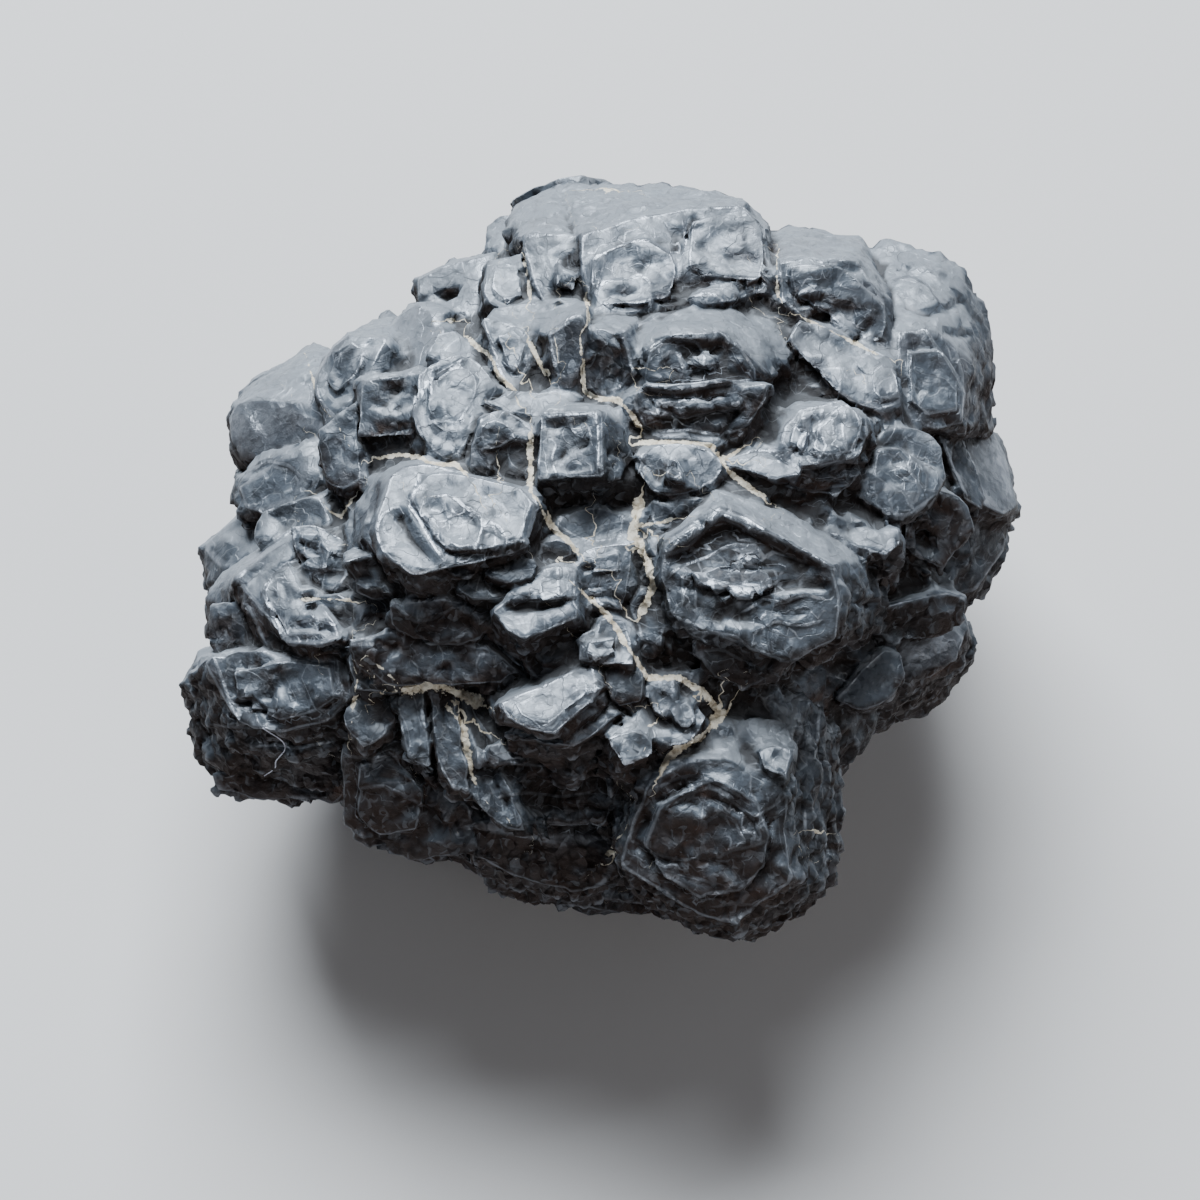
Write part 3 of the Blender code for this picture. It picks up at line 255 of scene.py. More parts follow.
crystal("left_pits", 1.0, (-.52, -.02), 5, "208,606 240,599 262,606 272,626 285,650 290,690 270,700 240,690 215,665 206,636", None, (), "pit")
crystal("left_rubble", .8, (-.15, .15), 4, "300,596 340,596 356,606 352,640 330,630 306,616", None, (), "pit")
crystal("left_foot", 1.4, (-.3, .08), 6, "204,662 240,650 290,652 345,660 354,700 330,722 285,732 243,724 222,695",
  "180,690 200,650 345,650 356,742 322,800 260,798 214,790 204,765 190,735",
  [("232,668 290,660 336,668 342,700 322,714 284,722 250,712 238,694", .3), ("256,676 300,672 318,688 300,704 268,700", .3)], "wr")
crystal("left_foot_strip", .8, (-.45, -.2), 5, "190,736 200,742 216,756 240,760 238,766 212,773 204,765", None, (), "sm")
crystal("low_left_a", .6, (-.1, -.3), 6, "344,742 372,734 420,726 446,760 470,802 480,850 420,864 370,850 345,822", None,
  [("360,760 400,750 430,790 420,830 380,836 358,810", .3)], "wr")
crystal("low_left_b", .4, (-.2, -.5), 6, "212,775 330,752 348,780 340,804 262,801 218,792", None, (), "sm")
crystal("sand_a", .5, (0, .25), 4, "342,712 352,700 386,700 402,712 386,735 366,748 348,732", None, (), "sm")
crystal("sand_b", .6, (.05, .15), 4, "400,690 424,688 428,730 434,768 412,762 402,725", None, (), "sed")
crystal("sand_c", .7, (.05, .15), 4, "430,690 455,692 462,740 472,795 452,790 438,760", None, (), "sed")
crystal("sand_d", .3, (0, .1), 4, "345,650 370,648 400,668 430,684 400,692 360,690", None, (), "sed")


# ---- from the drawing plane to space
ELEVATION = math.radians(VIEW_ELEVATION)
RIGHT = np.array((1.0, 0.0, 0.0))
UP = np.array((0.0, math.sin(ELEVATION), math.cos(ELEVATION)))
TOWARDS = np.array((0.0, -math.cos(ELEVATION), math.sin(ELEVATION)))
EYE = TOWARDS * VIEW_DISTANCE


def on_plane(px, py, height=0.0):
    """The point seen at drawing position px, py that stands this far in front of the drawing plane."""
    near = (VIEW_DISTANCE - height) / VIEW_DISTANCE
    x = (px - DRAWING_CENTRE[0]) * DRAWING_UNIT * near
    y = (DRAWING_CENTRE[1] - py) * DRAWING_UNIT * near
    return RIGHT * x + UP * y + TOWARDS * height


def outline_radius(smoothing):
    """The stone's outline as a radius for each of 120 directions, averaged over its neighbours."""
    points = np.array(OUTLINE, float) - BODY_CENTRE
    angles = np.unwrap(np.arctan2(-points[:, 1], points[:, 0]))
    radii = np.hypot(points[:, 0], points[:, 1])
    order = np.argsort(angles % (2 * math.pi))
    wanted = np.linspace(0, 2 * math.pi, 120, endpoint=False)
    found = np.interp(wanted, (angles % (2 * math.pi))[order], radii[order], period=2 * math.pi)
    return sum(np.roll(found, k) for k in range(-smoothing, smoothing + 1)) / (2 * smoothing + 1)


RADII = outline_radius(3)
SHARP_RADII = outline_radius(0)


def body_height(px, py):
    """Height of the rounded body's front over the drawing plane."""
    dx, dy = px - BODY_CENTRE[0], BODY_CENTRE[1] - py
    turn = (math.atan2(dy, dx) % (2 * math.pi)) / (2 * math.pi) * len(RADII)
    low = int(turn) % len(RADII)
    radius = RADII[low] + (RADII[(low + 1) % len(RADII)] - RADII[low]) * (turn - int(turn))
    share = min(1.0, math.hypot(dx, dy) / radius)
    return BODY_LEAN * dy * DRAWING_UNIT + BODY_DEPTH * (1 - share**BODY_FULLNESS) ** (1 / BODY_FULLNESS)


def cap_points(outline, lift, lean):
    """The outline on the crystal's flat cap, and the cap's normal."""
    outline = np.array(outline, float)
    mid = outline.mean(axis=0)
    through = on_plane(mid[0], mid[1], body_height(*mid) + lift)
    normal = RIGHT * lean[0] + UP * lean[1] + TOWARDS * math.sqrt(max(0.05, 1 - lean[0] ** 2 - lean[1] ** 2))
    normal /= np.linalg.norm(normal)
    rays = np.array([on_plane(*p) for p in outline]) - EYE
    reach = (through - EYE) @ normal / (rays @ normal)
    return EYE + rays * reach[:, None], normal


def seen_crystal(crystal):
    """The corners of one crystal of the seen side: its cap, its waist where the drawing gives one, and its root."""
    cap, normal = cap_points(crystal["cap"], crystal["lift"], crystal["n"])
    middle = cap.mean(axis=0)
    if crystal["root"] is None:
        root = middle + (cap - middle) * crystal["flare"] - normal * crystal["depth"]
        return np.vstack([cap, root])
    behind = (middle @ TOWARDS) - WAIST_REACH
    waist = np.array([on_plane(p[0], p[1], max(body_height(*p) - 0.2, behind)) for p in crystal["root"]])
    # A waist that would stand above the cap's plane is let down under it.
    over = (waist - middle) @ normal + 0.5
    waist = np.where(over[:, None] > 0, EYE + (waist - EYE) * (1 + over[:, None] / VIEW_DISTANCE), waist)
    # From its waist the crystal narrows towards the middle of the stone.
    root = waist + (BODY_MIDDLE - waist) * min(0.45, crystal["depth"] / BODY_DEPTH)
    return np.vstack([cap, waist, root])


def cap_plate(crystal, outline, height):
    """The corners of a raised plate on a crystal's cap."""
    cap, normal = cap_points(crystal["cap"], crystal["lift"], crystal["n"])
    rays = np.array([on_plane(*p) for p in outline]) - EYE
    flat = EYE + rays * ((cap[0] - EYE) @ normal / (rays @ normal))[:, None]
    middle = flat.mean(axis=0)
    return np.vstack([middle + (flat - middle) * 0.93 + normal * height, flat - normal * 0.1, flat - normal * 0.7])


def drawn(point):
    """Drawing position of a point in space, as its share of the outline's radius in that direction."""
    reach = point - EYE
    along = VIEW_DISTANCE / -(reach @ TOWARDS)
    dx = (reach @ RIGHT) * along / DRAWING_UNIT + DRAWING_CENTRE[0] - BODY_CENTRE[0]
    dy = (reach @ UP) * along / DRAWING_UNIT - DRAWING_CENTRE[1] + BODY_CENTRE[1]
    turn = (math.atan2(dy, dx) % (2 * math.pi)) / (2 * math.pi) * len(RADII)
    return math.hypot(dx, dy) / SHARP_RADII[int(turn) % len(RADII)]


def body_radius(way):
    """The body's radius from its middle along this unit vector."""
    right, up, towards = way @ RIGHT, way @ UP, way @ TOWARDS - BODY_LEAN * (way @ UP)
    turn = (math.atan2(up, right) % (2 * math.pi)) / (2 * math.pi) * len(RADII)
    wide = RADII[int(turn) % len(RADII)] * DRAWING_UNIT * (1 - FAR_TAPER * min(1.0, max(0.0, -2.5 * towards)))
    deep = BODY_DEPTH if towards > 0 else FAR_DEPTH
    share = (math.hypot(right, up) / wide) ** BODY_FULLNESS + (abs(towards) / deep) ** BODY_FULLNESS
    return share ** (-1 / BODY_FULLNESS)


def unit(azimuth, elevation):
    azimuth, elevation = math.radians(azimuth), math.radians(elevation)
    return np.array((math.sin(azimuth) * math.cos(elevation), -math.cos(azimuth) * math.cos(elevation), math.sin(elevation)))


def far_blocks():
    """Way out, width, length, twist, lift, lean and chamfer of each block of the far side and underside."""
    chance = random.Random(11)
    placed = []
    # The blocks that the stone lies on.
    for azimuth, elevation, size, twist, lift in (
        (22, -58, 8.0, 20, 1.7), (88, -60, 7.4, 55, 1.6), (150, -57, 8.4, 10, 1.5),
        (212, -59, 7.6, 70, 1.7), (268, -58, 7.8, 35, 1.6), (325, -57, 7.0, 80, 1.6),
    ):
        placed.append((unit(azimuth, elevation), size))
        yield unit(azimuth, elevation), size, size * 0.9, twist, lift, (0.0, 0.0, -0.9), 1.1
    # Then large blocks, each as far as it can be from the others, and small ones in the gaps that they leave.
    for count, least, most, low, high in ((36, 6.6, 9.4, -0.7, 0.6), (42, 3.6, 5.6, -0.2, 0.7)):
        for _ in range(count):
            size = chance.uniform(least, most)
            best, room = None, -1e9
            for _ in range(60):
                way = np.array([chance.gauss(0, 1) for _ in range(3)])
                way /= np.linalg.norm(way)
                gap = min((math.acos(min(1.0, way @ w)) * 18 - s * 0.5 for w, s in placed))
                if way @ TOWARDS < FAR_SIDE and gap > room:
                    best, room = way, gap
            placed.append((best, size))
            sunk = 1.3 if best[2] < -0.7 else 0.0
            yield (best, size, size * chance.uniform(0.72, 1.0), chance.uniform(0, 90),
                   chance.uniform(low, high) - sunk, [chance.uniform(-0.2, 0.2) for _ in range(3)], chance.uniform(0.4, 1.5))


def far_crystal(out, wide, long, twist, lift, lean, chamfer):
    """The corners of one block of the far side, pointing away from the middle of the stone."""
    radius = body_radius(out)
    facing = Vector(out + 0.35 * (out - np.array((0.0, 0.0, 0.25)))).normalized() + Vector(lean)
    turn = facing.to_track_quat("Z", "Y").to_matrix() @ Matrix.Rotation(math.radians(twist), 3, "Z")
    top = out * (radius + lift)
    ring = []
    for sx, sy in ((1, 1), (-1, 1), (-1, -1), (1, -1)):
        ring += [(sx * wide / 2, sy * (long / 2 - chamfer)), (sx * (wide / 2 - chamfer), sy * long / 2)]
    corners = [turn @ Vector((x, y, 0)) for x, y in ring]
    corners += [turn @ Vector((x * 1.12, y * 1.12, -2.2)) for x, y in ring]
    corners += [turn @ Vector((x * 0.9, y * 0.9, -7.0)) for x, y in ring]
    corners = np.array(corners) + top + BODY_MIDDLE
    # A block that would show past the drawn outline is pushed back under it.
    while max(drawn(corner) for corner in corners) > 0.97:
        corners = corners - 0.3 * out
    return corners


def core_points():
    """The core: the body drawn in by CORE_INSET, closed over the far side."""
    shrink = 1 - CORE_INSET / (BODY_DEPTH + 2)
    points = []
    for share in (0.0, 0.35, 0.6, 0.8, 0.93, 1.0):
        for k in range(1 if share == 0 else 20):
            angle = 2 * math.pi * k / 20
            radius = RADII[int(angle / (2 * math.pi) * len(RADII)) % len(RADII)] * share * shrink
            px, py = BODY_CENTRE[0] + radius * math.cos(angle), BODY_CENTRE[1] - radius * math.sin(angle)
            points.append(on_plane(px, py, body_height(px, py) - CORE_INSET))
    for elevation in (-90, -62, -35, -8, 20, 48):
        for k in range(1 if elevation == -90 else 14):
            way = unit(360 * k / 14, elevation)
            if way @ TOWARDS < 0.1:
                points.append(BODY_MIDDLE + way * (body_radius(way) - CORE_INSET))
    return np.array(points)


BODY_MIDDLE = on_plane(*BODY_CENTRE, 0.0)




# ---- drawn details of the seen side, on the drawing plane
# Ledges: height (mm), width of the fall behind the lip (mm), and the line, with the higher side to the left as one
# goes along it.
LEDGES = [
    # top blocks
    (.22, .6, "680,253 668,254 660,248 648,240 636,241 620,247 600,258 592,264 591,284"),
    (.20, .5, "650,282 640,275 632,280 614,281 605,284 602,292"),
    (.22, .5, "684,246 683,222"),
    (.15, .4, "722,298 712,293 700,293 690,298"),
    (.15, .4, "594,230 583,232 573,236"),
    (.25, .5, "575,315 560,325 548,335"),
    (.25, .6, "484,300 480,312 486,330 492,345"),
    (.15, .4, "738,343 748,360 754,369"),
    # crown
    (.35, .6, "648,388 670,392 690,390 710,387 735,384 765,380"),
    (.22, .4, "648,348 662,340 684,338 700,341"),
    (.22, .4, "672,366 688,372 702,370 716,364"),
    (.22, .4, "645,410 662,416 684,418 700,414 722,412 742,408"),
    (.22, .4, "642,424 660,430 690,430 714,434"),
    # right
    (.22, .5, "838,266 830,264 818,266"),
    (.22, .5, "822,288 815,287 802,291"),
    (.22, .5, "858,328 850,320 842,312"),
    (.30, .5, "803,469 822,467 840,462 860,462"),
    (.30, .5, "788,486 800,489 815,492 830,488 846,487"),
    (.16, .5, "783,456 796,446 804,430 812,415"),
    (.18, .5, "927,487 929,475 922,465 912,458 903,450"),
    (.18, .5, "906,508 917,500 920,490 917,480 909,470 896,466"),
    (.18, .5, "912,508 908,500 901,490 890,486"),
    (.25, .6, "964,419 965,395 958,378 942,356 933,345 925,328"),
    (.22, .5, "349,337 336,348 324,362 316,378 316,392 322,406 331,414"),
    (.20, .5, "422,437 413,417 417,392 421,376"),
    (.22, .5, "430,392 432,381 446,372 462,362"),
    (.20, .5, "938,300 930,285 912,276 896,280"),
    # large block: its rim, the shelf inside it, the roof-like facet and the small bright plate
    (.22, .35, "666,545 675,536 700,519 723,507 741,514 760,526 780,538 800,551 832,569"),
    (.32, .45, "668,557 688,549 707,529 722,518 740,526 757,537"),
    (.28, .45, "672,575 684,566 698,561 712,556 724,548 738,545"),
    (.10, .4, "725,581 748,586 772,587 784,577"),
    (.14, .4, "762,560 772,551 790,556 806,564"),
    (.25, .5, "744,613 764,600 786,604 806,596 824,600"),
    (.22, .4, "756,632 778,622 800,628 822,622"),
    (.22, .4, "690,634 712,632 736,636 750,648"),
    (.22, .4, "700,652 722,650 742,660"),
    # foot
    (.28, .5, "652,795 662,784 676,778 690,775 703,779 720,787 740,797"),
    (.30, .5, "670,806 686,796 702,790 713,790 730,801 752,818 760,834"),
    (.22, .5, "700,828 718,814 734,822 742,838"),
    (.25, .4, "634,842 650,852 668,858 690,860"),
    (.25, .4, "660,870 680,874 704,880 720,885"),
    (.25, .4, "722,856 736,850 752,848 768,842"),
    (.25, .4, "716,906 734,902 752,904 770,896"),
    (.22, .4, "755,820 766,812 784,800"),
    # middle
    (.20, .5, "508,602 530,600 546,602 562,599"),
    (.15, .4, "572,716 584,706 593,699 605,691"),
    (.22, .4, "480,766 505,764 545,766"),
    (.22, .4, "500,796 530,792 560,796 590,792"),
    (.22, .4, "520,824 545,822 575,824 600,818"),
    (.22, .4, "420,636 428,643 446,641 462,634"),
    (.22, .4, "400,610 412,620 430,618 450,608"),
    (.22, .4, "496,640 508,652 520,664"),
    # flower block
    (.28, .5, "442,556 434,545 427,533 421,521 413,512 407,503 415,492 417,480"),
    (.15, .4, "380,541 377,531 380,520 386,512 396,507"),
    # left
    (.20, .5, "325,644 310,645 292,643 283,631 273,612 265,594 272,578 284,568 294,562"),
    (.30, .4, "283,640 296,646 314,646 336,645 352,652"),
    (.22, .4, "296,624 316,621 334,626"),
    (.25, .5, "236,700 250,698 264,709 280,712"),
    (.28, .5, "212,726 240,729 268,729 284,738"),
    (.22, .4, "256,748 276,746 300,750 330,744"),
    (.22, .4, "350,756 372,760 392,754 412,760"),
    (.22, .4, "362,786 384,784 402,792 424,806"),
    (.18, .5, "340,356 352,347 366,344"),
    (.15, .4, "430,386 448,372 466,369"),
    (.20, .5, "257,420 248,412 240,404"),
    (.22, .4, "250,470 268,462 286,466 300,478"),
]

# Ridges: height (mm), half width (drawing units), line.
RIDGES = [
    (.16, 3.5, "434,497 448,494 458,500 466,507 474,509 481,516 484,525 481,538 478,548"),
    (.14, 3.5, "490,521 500,526 507,535 508,543 504,551"),
    (.12, 3.0, "420,516 427,511 432,517 441,526 438,534"),
    (.10, 3.0, "448,520 458,526 468,522 474,512"),
    (.12, 3.0, "452,540 464,546 478,543"),
    (.10, 3.0, "536,504 533,520 528,544"),
    (.16, 4.0, "750,539 743,555 735,571 722,583"),
    (.16, 4.0, "750,540 758,549 764,558"),
    (.12, 3.0, "684,580 682,602"),
    (.12, 3.0, "697,584 694,606"),
    (.14, 3.0, "570,417 572,426 577,433"),
    (.14, 3.0, "556,446 552,458 558,470"),
    (.12, 3.0, "588,425 594,436 590,448"),
    (.14, 3.0, "548,418 572,414 598,413 600,436 600,466"),
    (.12, 3.0, "626,338 630,354 634,376"),
    (.12, 3.0, "558,264 556,276 558,288"),
    (.14, 3.0, "590,702 594,684 589,667"),
    (.12, 3.0, "542,586 543,598 560,596 560,570"),
    (.12, 3.0, "670,457 667,470 668,480"),
    (.14, 3.0, "664,356 672,350 680,352 684,362"),
    (.14, 3.0, "700,346 706,356 704,366"),
    (.14, 3.0, "384,590 395,606 405,616"),
    (.12, 3.0, "800,420 806,436 800,452"),
    (.12, 3.0, "822,412 818,430 826,446 820,458"),
    (.12, 3.0, "844,414 840,430 846,446"),
    (.14, 3.0, "944,440 951,456 960,476 967,494"),
    (.12, 3.0, "806,815 808,836"),
    (.14, 4.0, "818,708 815,742"),
    (.12, 3.0, "828,838 826,862"),
    (.12, 3.0, "248,606 256,622 264,640"),
    (.14, 3.0, "211,655 220,675 228,700 239,724"),
    (.16, 3.0, "621,336 640,325 657,316"),
    (.16, 3.0, "291,531 268,548 250,565 236,584"),
]

# Grooves: depth (mm), half width (drawing units), line.
GROOVES = [
    (.35, 2.5, "573,238 574,258"),
    (.18, 2.5, "622,298 630,292 641,291"),
    (.30, 3.5, "566,264 578,267"),
    (.35, 4.0, "558,293 570,293"),
    (.20, 3.0, "690,271 698,276"),
    (.25, 2.5, "548,426 560,425"),
    (.25, 2.5, "560,456 566,447"),
    (.30, 2.5, "570,467 580,467"),
    (.30, 2.5, "578,444 590,440"),
    (.20, 2.5, "663,468 669,463 677,466"),
    (.22, 2.5, "668,478 677,476"),
    (.32, 2.5, "660,496 675,494 695,492"),
    (.18, 3.0, "640,461 648,462"),
    (.22, 2.5, "585,570 598,567"),
    (.20, 2.5, "602,562 613,561"),
    (.22, 2.5, "590,588 605,586"),
    (.28, 3.0, "592,598 610,596 621,601"),
    (.30, 2.5, "508,605 530,603 546,605 562,602"),
    (.18, 2.5, "515,611 530,609 546,606"),
    (.16, 2.5, "593,646 610,646 618,644"),
    (.28, 2.5, "590,699 598,693 606,691"),
    (.35, 3.5, "436,320 448,318 462,320"),
    (.22, 2.5, "650,346 664,340 688,342 702,351 713,353"),
    (.22, 2.5, "682,352 690,362 699,370"),
    (.20, 2.5, "712,353 722,347 736,353"),
    (.25, 2.5, "655,402 662,411 673,413"),
    (.25, 2.5, "690,421 702,418 716,415 736,413"),
    (.20, 2.5, "645,427 662,430 682,427"),
    (.25, 3.0, "736,413 729,425 722,438"),
    (.22, 2.5, "700,395 712,402 716,412"),
    (.25, 3.0, "802,303 812,299 829,299"),
    (.25, 3.0, "812,312 822,315 835,311"),
    (.25, 3.0, "854,339 862,330 869,325"),
    (.35, 5.0, "795,387 806,376 816,372"),
    (.50, 5.5, "836,508 850,503 864,512 880,522"),
    (.25, 2.5, "838,525 860,527 884,525 900,526"),
    (.30, 3.0, "804,470 822,469 842,464 860,464"),
    (.25, 3.0, "788,488 800,491 815,494 832,490"),
    (.20, 2.5, "820,494 828,501"),
    (.22, 2.5, "770,452 782,462 790,466"),
    (.30, 3.5, "858,604 874,603"),
    (.35, 5.0, "399,518 408,531 418,545 430,557"),
    (.22, 2.5, "672,566 690,560 706,556"),
    (.30, 3.5, "700,523 712,530 726,530"),
    (.20, 2.5, "672,584 690,590 712,592 726,588"),
    (.22, 2.5, "752,594 762,602 776,598"),
    (.22, 2.5, "776,612 790,618 806,614"),
    (.25, 2.5, "640,848 652,858 668,864"),
    (.22, 2.5, "660,800 672,793 690,786 702,785"),
    (.22, 2.5, "708,800 722,804 738,814"),
    (.22, 2.5, "700,862 716,862 730,866"),
    (.22, 2.5, "742,806 752,812 760,812"),
    (.30, 4.0, "800,745 803,770 798,800 793,832 796,868"),
    (.25, 3.5, "818,745 820,780 818,812"),
    (.22, 3.0, "806,850 812,880"),
    (.20, 2.5, "388,387 393,393 398,388"),
    (.22, 2.5, "370,405 386,405"),
    (.20, 2.5, "386,397 394,402"),
    (.20, 2.5, "395,419 398,408"),
    (.25, 3.0, "376,432 390,434 404,430"),
    (.22, 2.5, "446,427 459,424"),
    (.18, 2.5, "430,422 441,418"),
    (.20, 2.5, "303,545 310,552 319,553"),
    (.20, 2.5, "304,560 317,566"),
    (.22, 2.5, "302,583 321,584"),
    (.25, 2.5, "303,599 316,595"),
    (.22, 2.5, "305,611 315,606"),
    (.22, 2.5, "300,627 320,629 342,636"),
    (.30, 3.5, "238,703 252,701 264,712"),
    (.25, 3.0, "344,494 354,500 360,492"),
    (.35, 5.0, "330,498 338,508 346,518"),
    (.22, 2.5, "380,720 392,728 404,742"),
    (.25, 2.5, "395,760 412,768 424,782"),
    (.20, 2.5, "420,708 424,724 420,740"),
    (.22, 2.5, "440,700 446,716 444,734"),
    (.35, 3.0, "476,700 478,728 484,752 492,780 506,806"),
    (.22, 2.5, "530,760 540,770 552,776"),
    (.22, 2.5, "560,806 576,810 592,806"),
    (.25, 3.0, "905,305 925,312 945,310 962,300"),
    (.22, 3.0, "945,330 958,335 968,332"),
    (.28, 3.0, "508,729 520,733 545,740 556,739 572,723 590,706"),
    (.25, 3.0, "505,744 545,750 574,752 598,736 620,717"),
]


# ---- each crystal as flat sides and a cap
def hull_planes(corners):
    """Outward normals and offsets of the convex solid round these corners."""
    shape = bmesh.new()
    for corner in corners:
        shape.verts.new(Vector(corner))
    made = bmesh.ops.convex_hull(shape, input=shape.verts)
    loose = {v for v in made["geom_interior"] + made["geom_unused"] if isinstance(v, bmesh.types.BMVert)}
    bmesh.ops.delete(shape, geom=list(loose), context="VERTS")
    bmesh.ops.dissolve_limit(shape, angle_limit=math.radians(2.0), verts=shape.verts, edges=shape.edges)
    bmesh.ops.recalc_face_normals(shape, faces=shape.faces)
    planes = np.array([(*f.normal, f.normal.dot(f.calc_center_median())) for f in shape.faces])
    shape.free()
    return planes


SURFACES = {  # steps on the sides, contour steps on the cap, wrinkles, grains, pits, concentric terraces, upright ribs
    "smooth": (1.0, 0.7, 0.45, 0.6, 0.15, 0.0, 0.0),
    "sm": (1.0, 0.7, 0.45, 0.6, 0.15, 0.0, 0.0),
    "wr": (1.1, 1.2, 1.1, 0.9, 0.25, 0.0, 0.0),
    "pit": (1.2, 0.5, 0.8, 1.8, 1.0, 0.0, 0.0),
    "pitb": (1.0, 0.3, 0.4, 0.7, 1.4, 0.0, 0.0),
    "lay": (1.5, 0.9, 0.6, 1.0, 0.3, 1.0, 0.0),
    "crk": (1.2, 1.3, 1.0, 1.1, 0.4, 0.0, 0.3),
    "str": (1.0, 0.6, 0.5, 0.8, 0.2, 0.0, 1.0),
    "sed": (0.8, 0.4, 0.7, 1.6, 0.7, 0.0, 0.0),
}


def all_parts():
    """(group, corners, cap normal, cap offset, surface) of each convex piece, in millimetres."""
    parts = []
    chance = random.Random(5)
    for number, crystal in enumerate(CRYSTALS):
        corners = seen_crystal(crystal)
        cap, normal = cap_points(crystal["cap"], crystal["lift"], crystal["n"])
        parts.append((number, corners, normal, float(cap[0] @ normal), crystal["surface"]))
        for outline, height in crystal["plates"]:
            if height < 0:
                continue
            corners = cap_plate(crystal, outline, height)
            parts.append((number, corners, normal, float(cap[0] @ normal) + height, crystal["surface"]))
    styles = ("smooth", "wr", "wr", "pit", "lay", "crk", "smooth")
    for block in far_blocks():
        number += 1
        corners = far_crystal(*block)
        centre = corners[:8].mean(axis=0)
        normal = np.cross(corners[1] - corners[0], corners[2] - corners[0])
        normal /= np.linalg.norm(normal)
        normal *= np.sign(normal @ (centre - BODY_MIDDLE))
        style = styles[chance.randrange(len(styles))]
        parts.append((number, corners, normal, float(centre @ normal), style))
        # Up to three lower plates on the cap, each drawn in from one side.
        for k in range(1 + chance.randrange(3)):
            reach, height = chance.uniform(0.45, 0.85), chance.uniform(0.15, 0.4) * (k + 1)
            off = (corners[chance.randrange(8)] - centre) * chance.uniform(0.0, 1 - reach)
            ring = centre + off + (corners[:8] - centre) * reach
            plate = np.vstack([ring + normal * height, ring + (ring - centre - off) * 0.06, ring - normal * 0.8])
            parts.append((number, plate, normal, float(centre @ normal) + height, style))
    return parts


def box_corners():
    """The corners that set the solid's box: those of its crystals, of the plates that it has and of its far blocks."""
    found = []
    for crystal in CRYSTALS:
        found.append(seen_crystal(crystal))
        found += [cap_plate(crystal, outline, height) for outline, height in crystal["plates"] if height > 0.2]
    found += [far_crystal(*block) for block in far_blocks()]
    return np.vstack(found)


PARTS = all_parts()
_low, _high = box_corners().min(axis=0), box_corners().max(axis=0)
SHIFT = np.array((-(_low[0] + _high[0]) / 2, -(_low[1] + _high[1]) / 2, -(_low[2] + REST_TRIM)))
NORMALS = np.array([p[2] for p in PARTS], np.float32)
OFFSETS = np.array([p[3] for p in PARTS], np.float32)
TRAITS = np.array([SURFACES[p[4]] for p in PARTS], np.float32)
GROUPS = np.array([p[0] for p in PARTS], np.float32)
SIDES = {}  # the side planes of each piece


# ---- noise, the same on every run
def lattice(seed):
    return np.random.default_rng(seed).uniform(-1, 1, (64, 64, 64)).astype(np.float32)


LATTICES = [lattice(seed) for seed in (3, 7, 12, 19)]


def noise(points, size, seed=0, offset=0.0):
    """Smooth noise of this wavelength (mm) at these points, about -1 to 1."""
    flat = LATTICES[seed % 4].reshape(-1)
    at = points * np.float32(1 / size) + np.float32(offset + 7.31 * seed + 100)
    low = np.floor(at)
    part = at - low
    part = part * part * (3 - 2 * part)
    low = low.astype(np.int32) & 63
    high = (low + 1) & 63
    fx, fy, fz = part[:, 0], part[:, 1], part[:, 2]
    a, b, c, d = low[:, 0] * 4096, high[:, 0] * 4096, low[:, 1] * 64, high[:, 1] * 64
    z0, z1 = low[:, 2], high[:, 2]
    ac, bc, ad, bd = a + c, b + c, a + d, b + d
    low_z = (flat[ac + z0] * (1 - fx) + flat[bc + z0] * fx) * (1 - fy) + (flat[ad + z0] * (1 - fx) + flat[bd + z0] * fx) * fy
    high_z = (flat[ac + z1] * (1 - fx) + flat[bc + z1] * fx) * (1 - fy) + (flat[ad + z1] * (1 - fx) + flat[bd + z1] * fx) * fy
    return (low_z * (1 - fz) + high_z * fz) * np.float32(1.25)


def cells(points, size, seed=0):
    """Distances to the nearest and second nearest of scattered sites, one to each cell of this size (mm), the nearest
    site's own number (-1 to 1), and how far the point stands along that site's own direction."""
    at = points * np.float32(1 / size) + np.float32(11.7 * seed + 50)
    low = np.floor(at).astype(np.int32)
    part = at - low
    count = len(at)
    first = np.full(count, 9.0, np.float32)
    second = first.copy()
    number = np.zeros(count, np.float32)
    tilt = np.zeros(count, np.float32)
    jitter = [LATTICES[(seed + k) % 4].reshape(-1) for k in range(4)]
    corner = low + (part > 0.5).astype(np.int32) - 1  # only the eight cells round the nearer corner
    for i in (0, 1):
        for j in (0, 1):
            for k in (0, 1):
                cell = corner + np.array((i, j, k), np.int32)
                wrapped = cell & 63
                index = (wrapped[:, 0] * 64 + wrapped[:, 1]) * 64 + wrapped[:, 2]
                away = (cell - low).astype(np.float32) - part + np.float32(0.5)
                for axis in range(3):
                    away[:, axis] += np.float32(0.38) * jitter[axis][index]
                gap = np.einsum("ij,ij->i", away, away)
                closer = gap < first
                second = np.minimum(second, np.maximum(first, gap))
                first = np.minimum(first, gap)
                other = (index * 7 + 11) & 262143
                own = jitter[3][index]
                lean = -(away[:, 0] * jitter[1][other] + away[:, 1] * jitter[2][other] + away[:, 2] * jitter[0][other])
                number = np.where(closer, own, number)
                tilt = np.where(closer, lean, tilt)
    return np.sqrt(first), np.sqrt(second), number, tilt


def smooth_step(low, high, value):
    share = np.clip((value - low) / (high - low), 0, 1)
    return share * share * (3 - 2 * share)


def stair(value, tread, edge=0.22):
    """A flight of steps of height 1 for each tread."""
    at = value / tread
    whole = np.floor(at)
    return whole + smooth_step(0.5 - edge, 0.5 + edge, at - whole)


# ---- the distance field
BAND = 0.8
SOFTEN = 0.12  # share of each neighbour in the last smoothing of the field


